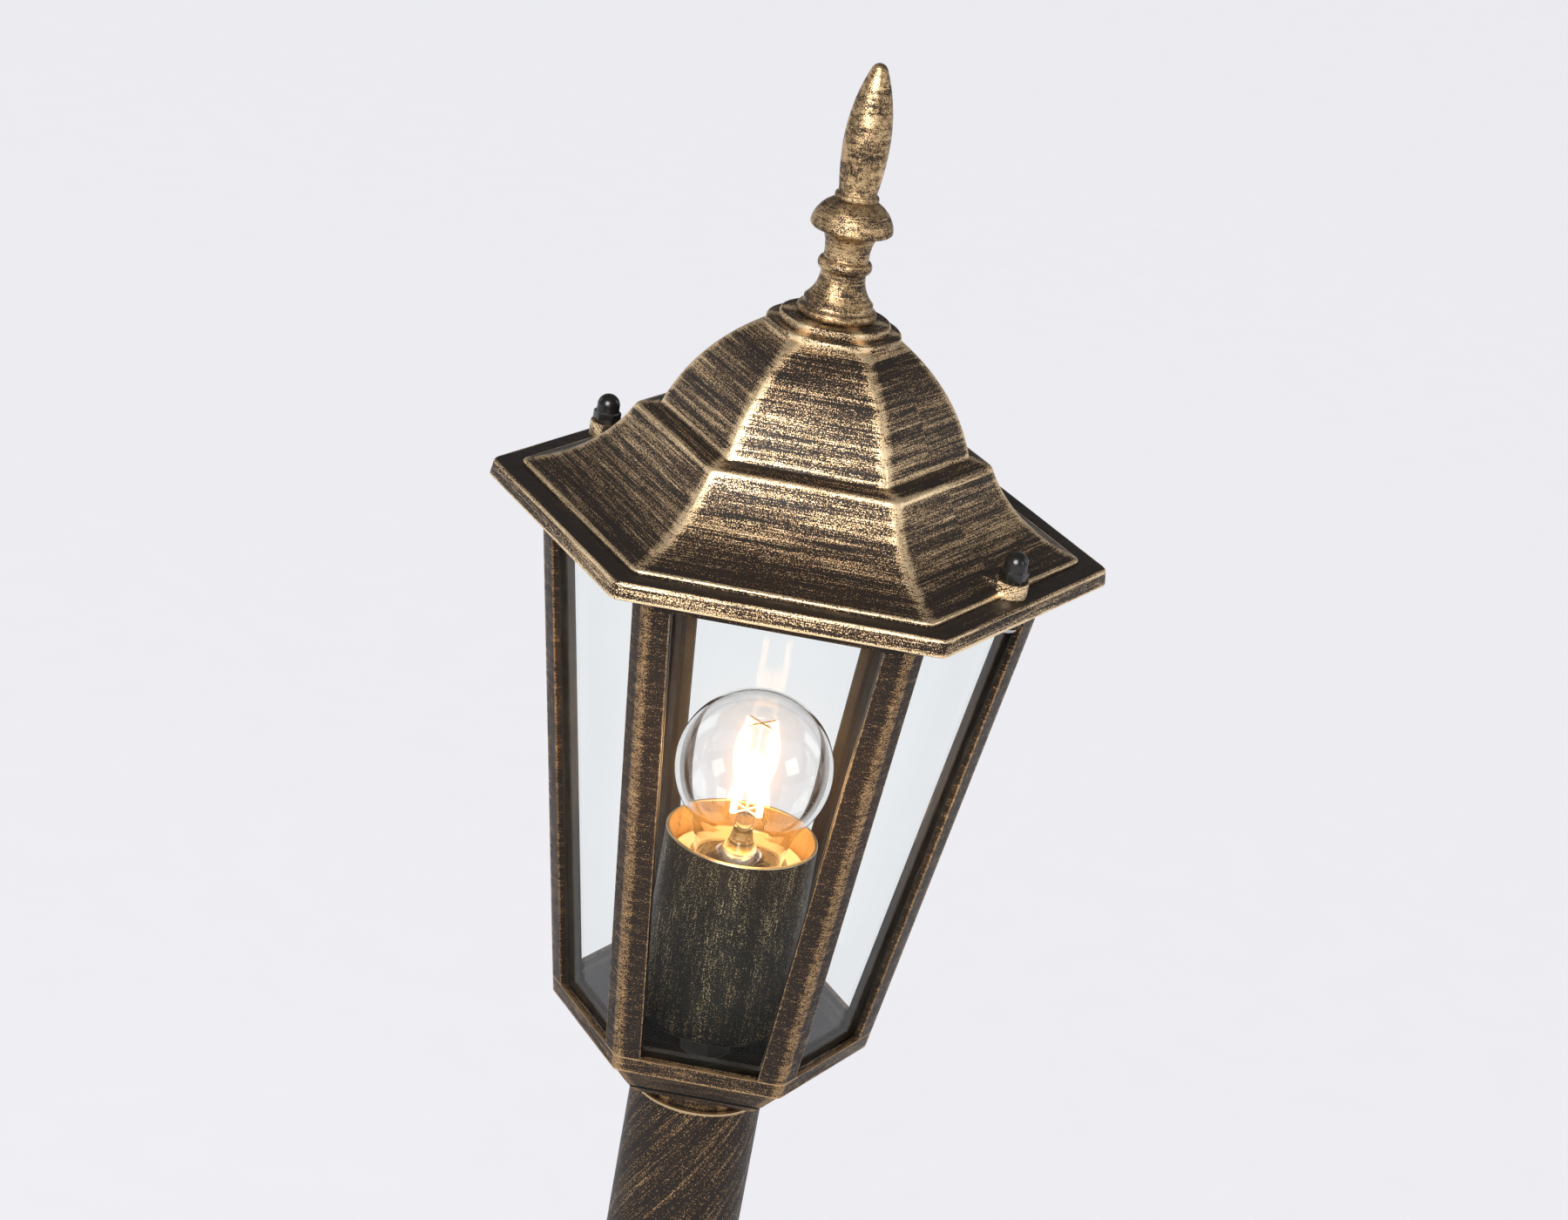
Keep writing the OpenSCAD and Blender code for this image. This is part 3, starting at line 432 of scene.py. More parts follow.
    def fade(self, value: Value, span: Point2, to_low: float, to_high: float) -> Socket:
        """Goes from one level to another over a span in millimetres of a value in metres."""
        return self.fit(value, span[0] * MM, span[1] * MM, to_low, to_high)

    def ramp(self, value: Value, stops: Sequence[tuple[float, Color]]) -> Socket:
        """Colours along a value from 0 to 1."""
        node = self.tree.nodes.new("ShaderNodeValToRGB")
        self.feed(node.inputs[0], value)
        band = node.color_ramp.elements
        while len(band) < len(stops):
            band.new(0.5)
        for element, (place, color) in zip(band, stops):
            element.position = place
            element.color = (*color, 1.0)
        return node.outputs[0]

    def mix(self, share: Value, first: Value, second: Value) -> Socket:
        """A value between two others."""
        node = self.tree.nodes.new("ShaderNodeMix")
        node.data_type = "FLOAT"
        for index, item in zip((0, 2, 3), (share, first, second)):
            self.feed(node.inputs[index], item)
        return node.outputs[0]

    def bump(self, height: Value, depth: float) -> None:
        """Bumps the surface by a height of 0 to 1, of that depth in millimetres."""
        node = self.tree.nodes.new("ShaderNodeBump")
        node.inputs["Strength"].default_value = 1.0
        node.inputs["Distance"].default_value = depth * MM
        self.feed(node.inputs["Height"], height)
        self.tree.links.new(node.outputs[0], self.shader.inputs["Normal"])


@dataclass(frozen=True)
class Band:
    """A band of a coordinate that fades at its edges, in millimetres."""

    centre: float
    half: float
    fade: float

    def on(self, graph: Graph, value: Value) -> Socket:
        """1 inside the band and 0 outside it, for a value in metres."""
        away = graph.math("ABSOLUTE", graph.math("SUBTRACT", value, self.centre * MM))
        return graph.fade(away, (self.half - self.fade / 2, self.half + self.fade / 2), 1, 0)


@dataclass(frozen=True)
class SideField:
    """Coordinates on a six-sided piece: along a side, out from the axis, and to the nearest ridge."""

    along: Socket
    out: Socket
    ridge: Socket
    seed: Socket

    @staticmethod
    def on(graph: Graph) -> "SideField":
        """Builds the coordinates in a material.

        Args:
            graph: The material's nodes.

        Returns:
            The field.
        """
        outs, alongs = [], []
        for turn in (90, 30, -30):
            c, s = cos(radians(turn)), sin(radians(turn))
            outs.append(graph.math("ABSOLUTE", graph.blend(graph.x, c, graph.y, s)))
            alongs.append(graph.blend(graph.x, -s, graph.y, c))
        second = graph.math("GREATER_THAN", outs[1], outs[0])
        out = graph.most(outs[0], outs[1])
        along = graph.mix(second, alongs[0], alongs[1])
        third = graph.math("GREATER_THAN", outs[2], out)
        out = graph.most(out, outs[2])
        along = graph.mix(third, along, alongs[2])
        half_side = graph.times(out, tan(radians(30)))
        ridge = graph.math("SUBTRACT", half_side, graph.math("ABSOLUTE", along))
        seed = graph.total(graph.times(second, 5.3), graph.times(third, 11.7),
                           graph.times(graph.above(graph.y, 0.0), 3.1))
        return SideField(along, out, ridge, seed)

    def edges(self, graph: Graph, places: Sequence[tuple[Band, Band]]) -> Socket:
        """1 along level edges, each given by how far out and how high it lies."""
        return graph.most(*(graph.times(out.on(graph, self.out), height.on(graph, graph.z))
                            for out, height in places))


class Strokes(Enum):
    """Where the gold was brushed on a casting, and in which direction."""

    ROOF = "roof"
    FRAME = "frame"
    TURNED = "turned"
    POLE = "pole"
    CUP = "cup"


@dataclass(frozen=True)
class GoldPlaces:
    """Where the gold on the castings is thicker or thinner, and where shade is painted as less gold, in
    millimetres.
    """

    skirt_z: float = 674.5
    # Painted shade: less gold at the skirt's foot, which faces up.
    skirt_foot_shade_z: Point2 = (676, 684)
    # Painted shade: less gold towards the dome's top, which faces up.
    crown_shade_z: Point2 = (712, 725)
    disc_z: Point2 = (725.0, 725.4)
    ridge: Point2 = (0.0, 3.8)
    brim_out: float = 74.25
    rims: tuple[tuple[Band, Band], ...] = (
        (Band(74.4, 0.9, 0.9), Band(673.7, 0.8, 0.7)),
        (Band(74.9, 1.0, 0.9), Band(669.0, 0.8, 0.8)),
        (Band(67.3, 0.8, 0.5), Band(674.9, 0.6, 0.5)),
    )
    lips: tuple[tuple[Band, Band], ...] = (
        (Band(43.0, 1.0, 0.8), Band(696.4, 0.8, 0.8)),
        (Band(37.3, 0.6, 0.6), Band(699.2, 0.5, 0.8)),
    )
    stud_out: float = 67.8
    seat_r: Point2 = (4.6, 5.2)
    seat_z: float = 674.2
    post_z: Point2 = (520.4, 662)
    corner: Point2 = (1.0, 3.0)
    window: Point2 = (6.6, 6.8)
    rail_lines: tuple[Band, ...] = (Band(520.1, 0.25, 0.2), Band(515.4, 0.5, 0.6))
    flame_z: Point2 = (762, 766)
    pole_r: float = 19.4
    pole_rim: Band = Band(494.0, 0.5, 0.4)
    cup_r: float = 21.9
    cup_inner_r: float = 21.1
    cup_rim_z: float = 575.35


PLACES = GoldPlaces()


@dataclass(frozen=True)
class AntiqueGold:
    """Black lacquer with gold brushed over it in dry strokes, and worn through along the edges."""

    black: Color = (0.013, 0.0095, 0.0075)
    brown: Color = (0.115, 0.054, 0.022)
    bronze: Color = (0.40, 0.220, 0.080)
    gold: Color = (0.92, 0.71, 0.44)
    stroke_length: float = 22
    stroke_width: float = 0.36
    grain: float = 0.30
    amount: float = -0.055
    marks: float = 0.70
    patches: float = 0.42
    specks: float = 0.80
    edge: float = 0.16

    def flecks(self, graph: Graph, along: Value, across: Value, seed: Value, wear_and_shade: Value) -> Socket:
        """Dry brush strokes that break up into flecks.

        Args:
            graph: The material's nodes.
            along: Metres along the strokes.
            across: Metres across them.
            seed: Sets one side's marks apart from the next.
            wear_and_shade: More gold above 0, less below; worn edges, and on the roof also painted shade.

        Returns:
            How much gold lies there, from 0 to 1.
        """
        length, width = self.stroke_length, self.stroke_width
        fine = graph.drawn(along, length, across, width, seed, 5, 0.68)
        sweep = graph.drawn(along, length * 2, across, width * 6.25, seed, 2)
        return self.worn(graph, fine, sweep, graph.grain(self.grain, 1), wear_and_shade)

    def worn(self, graph: Graph, fine: Value, broad: Value, grain: Value, wear_and_shade: Value) -> Socket:
        """Gold where strokes, broad patches, grain, worn edges and any painted shade together are high,
        from 0 to 1.
        """
        density = graph.total(graph.times(fine, self.marks), graph.times(broad, self.patches),
                              graph.times(grain, self.specks), wear_and_shade)
        low = (self.marks + self.patches + self.specks) / 2 - self.amount
        return graph.fit(density, low, low + self.edge, soft=False)

    def roof(self, graph: Graph) -> Socket:
        """Gold on the roof: level strokes, soft bright ridges, bright edges; painted shade as less gold on
        level ledges, the dome's top and the skirt's foot.
        """
        side = SideField.on(graph)
        run = graph.total(graph.z, graph.times(side.out, -0.6))
        ridge = graph.times(graph.fade(side.ridge, PLACES.ridge, 0.20, 0.0),
                            graph.above(graph.z, PLACES.skirt_z))
        # Painted shade: less gold on faces that point up, such as the level ledges.
        ledge_shade = graph.fit(graph.split(graph.normal)[2], 0.93, 0.985, 0.0, -0.09)
        # Painted shade: less gold towards the dome's top; real gold on the discs above it.
        crown_shade_and_disc_gold = graph.total(graph.fade(graph.z, PLACES.crown_shade_z, 0.0, -0.06),
                            graph.fade(graph.z, PLACES.disc_z, 0.0, 0.13))
        # Painted shade: less gold at the skirt's foot, which faces up.
        skirt_foot_shade = graph.fade(graph.z, PLACES.skirt_foot_shade_z, -0.07, 0.0)
        brim = graph.times(graph.above(side.out, PLACES.brim_out), 0.07)
        rims = graph.times(side.edges(graph, PLACES.rims), 0.22)
        lips = graph.times(side.edges(graph, PLACES.lips), 0.14)
        towards_stud = graph.math("ABSOLUTE", graph.blend(graph.x, COS30, graph.y, -0.5))
        away = graph.length(graph.math("SUBTRACT", towards_stud, PLACES.stud_out * MM),
                            graph.blend(graph.x, 0.5, graph.y, COS30))
        seat = graph.times(graph.fade(away, PLACES.seat_r, 0.18, 0.0),
                           graph.above(graph.z, PLACES.seat_z))
        # Real gold on ridges, rims, lips and seats, plus the painted shade above.
        wear_and_shade = graph.total(ridge, ledge_shade, crown_shade_and_disc_gold, skirt_foot_shade, brim, rims, lips, seat)
        return self.flecks(graph, side.along, run, side.seed, wear_and_shade)

    def frame(self, graph: Graph) -> Socket:
        """Gold on the lantern's frame: short level marks, gold corners and window edges."""
        side = SideField.on(graph)
        foot, head = PLACES.post_z
        on_post = graph.times(graph.above(graph.z, foot), graph.below(graph.z, head))
        corner = graph.fade(side.ridge, PLACES.corner, 0.15, 0.0)
        window = graph.times(graph.fade(side.ridge, PLACES.window, 0.0, 0.16), on_post)
        lines = graph.times(graph.most(*(line.on(graph, graph.z) for line in PLACES.rail_lines)), 0.18)
        rail = graph.times(graph.below(graph.z, foot), 0.05)
        along = graph.times(side.along, graph.mix(on_post, 1.0, 2.6))
        return self.flecks(graph, along, graph.z, side.seed, graph.total(corner, window, lines, rail))

    def turned(self, graph: Graph) -> Socket:
        """Gold on round castings: marks round the axis, broken up by coarse grain."""
        turn = graph.math("ABSOLUTE", graph.math("ARCTAN2", graph.y, graph.x))
        along = graph.times(turn, graph.times(graph.length(graph.x, graph.y), 3.0))
        upright = graph.fade(graph.z, PLACES.flame_z, 0, 1)
        across = graph.mix(upright, graph.z, graph.times(graph.z, 0.22))
        blots = graph.blend(graph.grain(1.5, 2, 0.6), 0.42, graph.grain(7, 1), 0.28)
        return self.flecks(graph, along, across, 0.0, graph.total(blots, -0.25))

    def pole(self, graph: Graph) -> Socket:
        """Gold on the pole: slanting strokes that wind round it."""
        around = graph.around(PLACES.pole_r)
        rim = graph.times(PLACES.pole_rim.on(graph, graph.z), 0.4)
        return self.flecks(graph, graph.blend(around, 0.55, graph.z, 0.83),
                           graph.blend(graph.z, 0.55, around, -0.83), 0.0, rim)

    def cup(self, graph: Graph) -> Socket:
        """Gold on the lamp cup: fine specks, upright streaks, a gold rim and a warm inside."""
        around = graph.around(PLACES.cup_r)
        streaks = graph.drawn(graph.z, self.stroke_length, around, self.stroke_width, 0.0, 3, 0.6)
        clusters = graph.drawn(graph.z, 24, around, 5, 4.0, 3)
        rim = graph.times(graph.above(graph.z, PLACES.cup_rim_z), 0.30)
        inside = graph.times(graph.below(graph.length(graph.x, graph.y), PLACES.cup_inner_r), 0.25)
        grain = graph.grain(self.grain, 2, 0.6)
        return self.worn(graph, streaks, clusters, grain, graph.total(rim, inside))

    def material(self, name: str, strokes: Strokes) -> Material:
        """Builds the finish.

        Args:
            name: The material's name.
            strokes: How the gold is laid on.

        Returns:
            The material.
        """
        graph = Graph(name)
        gold = getattr(self, strokes.value)(graph)
        stops = [(0.0, self.black), (0.05, self.brown), (0.16, self.bronze), (0.62, self.gold)]
        graph.set("Base Color", graph.ramp(gold, stops))
        graph.set("Metallic", graph.fit(gold, 0.03, 0.14, 0.0, 0.94))
        cloud = graph.fit(graph.noise(graph.place, 260, 2), 0.3, 0.7, -0.05, 0.06)
        graph.set("Roughness", graph.total(graph.fit(gold, 0, 0.2, 0.46, 0.36), cloud))
        graph.set("Specular IOR Level", 0.16)
        graph.bump(graph.blend(gold, 0.7, graph.noise(graph.place, 900, 2), 0.4), 0.05)
        return graph.material


@dataclass(frozen=True)
class Plain:
    """A finish of one colour with a fine uneven grain."""

    color: Color
    metallic: float = 0.0
    roughness: float = 0.5
    shade: float = 0.2
    grain: float = 1.2
    depth: float = 0.02
    gloss: float = 0.5
    ior: float = 1.5

    def material(self, name: str) -> Material:
        """Builds the finish with that name."""
        graph = Graph(name)
        cloud = graph.grain(self.grain * 9, 3)
        fine = graph.grain(self.grain, 2, 0.6)
        dark = tuple(channel * (1 - self.shade) for channel in self.color)
        light = tuple(min(1.0, channel * (1 + self.shade)) for channel in self.color)
        graph.set("Base Color", graph.ramp(cloud, [(0.3, dark), (0.7, light)]))
        graph.set("Metallic", self.metallic)
        graph.set("Specular IOR Level", self.gloss)
        graph.set("IOR", self.ior)
        rough = min(1.0, self.roughness * 1.14)
        graph.set("Roughness", graph.fit(fine, 0.3, 0.7, self.roughness * 0.88, rough))
        graph.bump(fine, self.depth)
        return graph.material


@dataclass(frozen=True)
class ClearGlass:
    """Clear glass with a faint tint."""

    tint: Color = (0.965, 0.985, 0.975)
    roughness: float = 0.0
    ior: float = 1.46

    def material(self, name: str) -> Material:
        """Builds the glass with that name."""
        graph = Graph(name)
        film = graph.noise(graph.place, 30, 2)
        clean = tuple(min(1.0, channel * 1.012) for channel in self.tint)
        graph.set("Base Color", graph.ramp(film, [(0.35, self.tint), (0.65, clean)]))
        graph.set("Roughness", self.roughness)
        graph.set("IOR", self.ior)
        graph.set("Transmission Weight", 1.0)
        return graph.material


@dataclass(frozen=True)
class Glow:
    """A glowing light filament."""

    color: Color = (1.0, 0.60, 0.22)
    hot: Color = (1.0, 0.72, 0.36)
    strength: float = 60

    def material(self, name: str) -> Material:
        """Builds the glow with that name."""
        graph = Graph(name)
        beads = graph.pack(graph.times(graph.x, 90), graph.times(graph.y, 90), graph.times(graph.z, 620))
        glow = graph.ramp(graph.noise(beads, 1.0, 1), [(0.3, self.color), (0.7, self.hot)])
        graph.set("Base Color", glow)
        graph.set("Emission Color", glow)
        graph.set("Emission Strength", self.strength)
        graph.set("Roughness", 0.4)
        return graph.material


@dataclass
class Palette:
    """Every finish of the light, built once."""

    made: dict[str, Material] = field(default_factory=dict)

    def build(self) -> None:
        """Builds the materials by name."""
        castings = {
            Strokes.ROOF: AntiqueGold(),
            Strokes.FRAME: AntiqueGold(
                brown=(0.070, 0.036, 0.017), bronze=(0.18, 0.098, 0.040), gold=(0.50, 0.325, 0.165),
                stroke_length=9, stroke_width=0.27, grain=0.26, amount=-0.12, patches=0.28),
            Strokes.TURNED: AntiqueGold(
                black=(0.020, 0.0145, 0.011), brown=(0.115, 0.062, 0.028), bronze=(0.30, 0.185, 0.085),
                gold=(0.68, 0.49, 0.27), grain=0.26, amount=-0.05, edge=0.30),
            Strokes.POLE: AntiqueGold(gold=(0.54, 0.39, 0.22), amount=-0.12),
            Strokes.CUP: AntiqueGold(
                black=(0.010, 0.0095, 0.007), brown=(0.050, 0.038, 0.020), bronze=(0.26, 0.19, 0.085),
                gold=(0.80, 0.62, 0.36), stroke_length=7, stroke_width=0.40, grain=0.31, amount=-0.10,
                marks=0.40, patches=0.26, edge=0.11),
        }
        plain = {
            "steel": Plain((0.50, 0.50, 0.49), 0.9, 0.36),
            "zinc_nut": Plain((0.30, 0.31, 0.31), 0.85, 0.34, 0.3),
            "black_nut": Plain((0.012, 0.011, 0.010), 0.2, 0.24, 0.4, 0.8, 0.03),
            "inner_black": Plain((0.007, 0.008, 0.008), 0.0, 0.5, 0.3, 1.2, 0.02, 0.5, 1.07),
            "inner_brown": Plain((0.026, 0.023, 0.019), 0.0, 0.5, 0.3, 0.8, 0.03, 0.3),
            "porcelain": Plain((0.78, 0.72, 0.60), 0.0, 0.22, 0.05),
            "brass": Plain((0.72, 0.50, 0.22), 1.0, 0.3),
            "bright_metal": Plain((0.72, 0.72, 0.71), 1.0, 0.28),
            "black_plastic": Plain((0.02, 0.02, 0.02), 0.0, 0.35),
            "white_plastic": Plain((0.72, 0.71, 0.67), 0.0, 0.45, 0.06),
            "cable_rubber": Plain((0.02, 0.02, 0.02), 0.0, 0.7),
        }
        self.made = {name: finish.material(name) for name, finish in plain.items()}
        for strokes, finish in castings.items():
            name = f"{strokes.value}_gold"
            self.made[name] = finish.material(name, strokes)
        self.made["pane_glass"] = ClearGlass(ior=1.16).material("pane_glass")
        self.made["bulb_glass"] = ClearGlass((0.99, 0.99, 0.985)).material("bulb_glass")
        self.made["filament"] = Glow().material("filament")
        LOG.info("%d finishes", len(self.made))

    def __getitem__(self, name: str) -> Material:
        """The material of that name."""
        return self.made[name]


# Sub-assemblies


@dataclass
class RoofCap:
    """Cast roof with its discs and nut seats, the finial, and what holds the finial."""

    under_z: float = 668.9
    brim_top: Point2 = (74.2, 673.8)
    brim_foot: float = 74.9
    opening: float = 53.85
    step: Point2 = (67.4, 674.9)
    skirt_top: Point2 = (42.95, 696.9)
    skirt_r: float = 39.3
    dome_foot: Point2 = (37.3, 698.2)
    dome_crown: Point2 = (16.0, 727.5)
    dome_r: float = 54
    wall: float = 2.5
    ceiling_z: float = 721.3
    stud_reach: float = 67.8
    seat_r: float = 4.4
    seat_top: float = 678.3
    disc_top: float = 728.7
    roof_top: float = 731.0

    def shell(self) -> Object:
        """Lofts the six-sided shell through its profile and rounds its ridges and edges."""
        skirt_c = arc_centre(self.skirt_top, self.step, self.skirt_r)
        dome_c = arc_centre(self.dome_foot, self.dome_crown, self.dome_r)
        skirt_in = partial(at_height, skirt_c, -self.skirt_r - self.wall)
        dome_in = partial(at_height, dome_c, self.dome_r - self.wall)
        inner = [dome_in(z) for z in (self.ceiling_z, 717, 712, 706, 700, 696)]
        inner += [(skirt_in(694.2)[0], 694.4)] + [skirt_in(z) for z in (692, 688, 684, 680)]
        mouth_z = next(z / 10 for z in range(6940, 6689, -1) if skirt_in(z / 10)[0] > self.opening)
        inner = [point for point in inner if point[1] > mouth_z]
        inner += [(self.opening, mouth_z), (self.opening, self.under_z)]
        outer = [(self.brim_foot, self.under_z), self.brim_top, (self.step[0], self.brim_top[1])]
        outer += arc_through(self.step, self.skirt_top, skirt_c, 18)
        outer += [(self.dome_foot[0] + 1.0, self.dome_foot[1])]
        outer += arc_through(self.dome_foot, self.dome_crown, dome_c, 18)
        profile = [(flat / COS30, z) for flat, z in inner + outer]
        bench = Bench("roof_shell").chain(profile, SIDES, 30)
        bench.edit("EDGE")

        def on_ridge(corners: Sequence[Vector]) -> bool:
            """True for an outer edge that runs along a ridge."""
            low, high = corners
            if abs(low.z - high.z) < 0.01 and abs(low.xy.length - high.xy.length) < 0.3:
                return False
            if not all(self.outside(corner, skirt_c, dome_c) for corner in corners):
                return False
            return (low.xy - high.xy).cross(low.xy) ** 2 < 0.01

        picked = bench.pick("edges", on_ridge)
        LOG.info("roof ridges: %d edges", picked)
        bench.bevel(1.9, 4, False)
        self.soften(bench)
        return bench.smooth(32)

    def outside(self, corner: Vector, skirt_c: Point2, dome_c: Point2) -> bool:
        """True for a corner of the shell's outer side."""
        flat = corner.xy.length * COS30
        if corner.z < self.brim_top[1] + 0.1:
            return flat > self.step[0] - 0.1
        if corner.z < self.skirt_top[1] + 0.1:
            return sqrt((flat - skirt_c[0]) ** 2 + (corner.z - skirt_c[1]) ** 2) < self.skirt_r + 0.4
        if corner.z < self.dome_foot[1] - 0.1:
            return False
        return sqrt((flat - dome_c[0]) ** 2 + (corner.z - dome_c[1]) ** 2) > self.dome_r - 0.4

    def soften(self, bench: Bench) -> None:
        """Rounds the level edges: brim, step and the skirt's lip."""
        levels = [(self.under_z, 73.5, 0.6), (self.brim_top[1], 73.0, 0.7), (self.step[1], 66.0, 0.45),
                  (self.skirt_top[1], 41.8, 0.7)]
        for z, reach, width in levels:
            bpy.ops.mesh.select_all(action="DESELECT")
            bench.pick("edges", lambda corners: all(
                abs(c.z - z) < 0.05 and self.flat_reach(c) > reach for c in corners))
            bench.bevel(width, 3)

    @staticmethod
    def flat_reach(corner: Vector) -> float:
        """How far out a corner lies, measured square to its side."""
        return max(abs(corner.x * cos(a) + corner.y * sin(a)) for a in (pi / 2, pi / 6, -pi / 6))

    def seat(self, side: int) -> Object:
        """A nut's seat: a round boss drawn back into the skirt and rounded at its top.

        Args:
            side: The roof's side, counted from the front.

        Returns:
            The seat.
        """
        profile = [(self.seat_r, self.brim_top[1] - 0.3), (self.seat_r, self.seat_top)]
        bench = Bench(f"nut_seat_{side}").chain(profile, 48)
        bench.edit("VERT")
        bench.pick("verts", lambda corners: corners[0].y > 0.01)
        bpy.ops.transform.resize(value=(1, 0, 1), center_override=(0, 0, 0))
        bpy.ops.transform.translate(value=(0, 12.5 * MM, 0))
        bpy.ops.mesh.select_mode(type="EDGE")
        bpy.ops.mesh.select_all(action="DESELECT")
        bench.pick("edges", lambda corners: all(abs(c.z - self.seat_top) < 0.01 for c in corners))
        bench.bevel(0.7, 3)
        return self.on_side(bench, side, 0)

    def on_side(self, bench: Bench, side: int, height: float) -> Object:
        """Shades a piece smooth and moves it to a side's stud, up to a height."""
        turn = Matrix.Rotation(radians(60 * side), 4, "Z")
        piece = bench.smooth(35)
        piece.data.transform(turn @ Matrix.Translation((0, -self.stud_reach * MM, height * MM)))
        return piece

    def disc(self, name: str, radius: float, low: float, high: float, edge: float) -> Object:
        """A round disc with rounded edges."""
        profile = [(radius - edge, low)] + arc((radius - edge, low + edge), edge, -60, 0, 3)
        profile += arc((radius - edge, high - edge), edge, 0, 90, 5)
        return Bench(name).chain(profile, 96).smooth(40)

    def finial(self) -> Object:
        """Turns the finial: bell foot, bead, neck, mushroom knop, ring and flame."""
        base = self.roof_top
        foot = [(9.4, 0)] + arc((9.4, 1.5), 1.5, -75, 75, 8) + [(9.42, 3.6)]
        foot += [at_height((16.1, 12), -10, z) for z in (4.6, 5.3, 6.2, 7.2, 8.4, 9.8, 11.2, 12.3)]
        bead = arc((5.5, 14.4), 1.9, -70, 70, 10)
        neck = [(6.1, 16.6), (6.1, 18.5), (6.4, 20.5), (7.1, 22.6), (8.6, 23.9), (10.3, 24.5)]
        knop = [(10.75, 24.3)] + arc((10.35, 25.1), 0.85, -60, 20, 5)
        knop += [(10.95, 26.6), (10.3, 28.1), (9.3, 29.6), (8.1, 30.8), (6.8, 31.7), (5.6, 32.3)]
        ring = arc((4.85, 33.2), 1.15, -60, 65, 8)
        flame = [at_height((-71.75, 47.7), 78, z) for z in (34.6, 37, 40, 43, 46, 47.7)]
        flame += [at_height((-45.75, 47.7), 52, z) for z in (50, 53, 56, 59, 62, 64.5, 66.4)]
        tip = [(2.42, 67.3), (2.02, 68.2), (1.5, 68.85), (0.85, 69.25), (0.3, 69.4)]
        profile = [(r, base + z) for r, z in foot + bead + neck + knop + ring + flame + tip]
        return Bench("finial_turned").chain(profile, 96).smooth(42)

    def cap_nut(self, name: str, side: int) -> Object:
        """A domed nut: a chamfered hexagon that is drawn up into a ball."""
        hexagon = Bench(name).chain([(3.85, 0), (4.04, 0.25), (4.04, 2.75), (3.65, 3.2)], SIDES, 30)
        hexagon.edit("EDGE")
        hexagon.pick("edges", lambda corners: abs(corners[0].z - corners[1].z) > 0.1)
        hexagon.bevel(0.25, 2)
        ball = [(3.3, 2.9), (3.25, 3.3), (3.2, 4.75)] + arc((0, 4.75), 3.25, 6, 86, 12)
        hexagon.join([Bench("nut_dome").chain(ball, 48).obj])
        return self.on_side(hexagon, side, self.seat_top)

    def build(self, palette: Palette) -> None:
        """Models and dresses the roof, the finial and the cap nuts."""
        shell = self.shell()
        extras = [self.seat(1), self.seat(4),
                  self.disc("lower_disc", 18.5, self.disc_top - 3.4, self.disc_top, 0.8),
                  self.disc("upper_disc", 15.1, self.disc_top - 0.2, self.roof_top, 0.7)]
        Bench("roof_casting", shell).join(extras)
        shell.name = "roof_casting"
        settle(shell, ROOF, palette["roof_gold"], "antique_gold", "roof")
        settle(self.finial(), ROOF, palette["turned_gold"], "antique_gold", "finial")
        for node, body, side in (("cap_nut_front", FRONT_NUT, 1), ("cap_nut_rear", REAR_NUT, 4)):
            nut = self.cap_nut(f"{node}_domed", side)
            settle(nut, body, palette["black_nut"], "black_steel", node)
        dress(palette["steel"], "finial_stud", "finial_washer", "finial_nut")


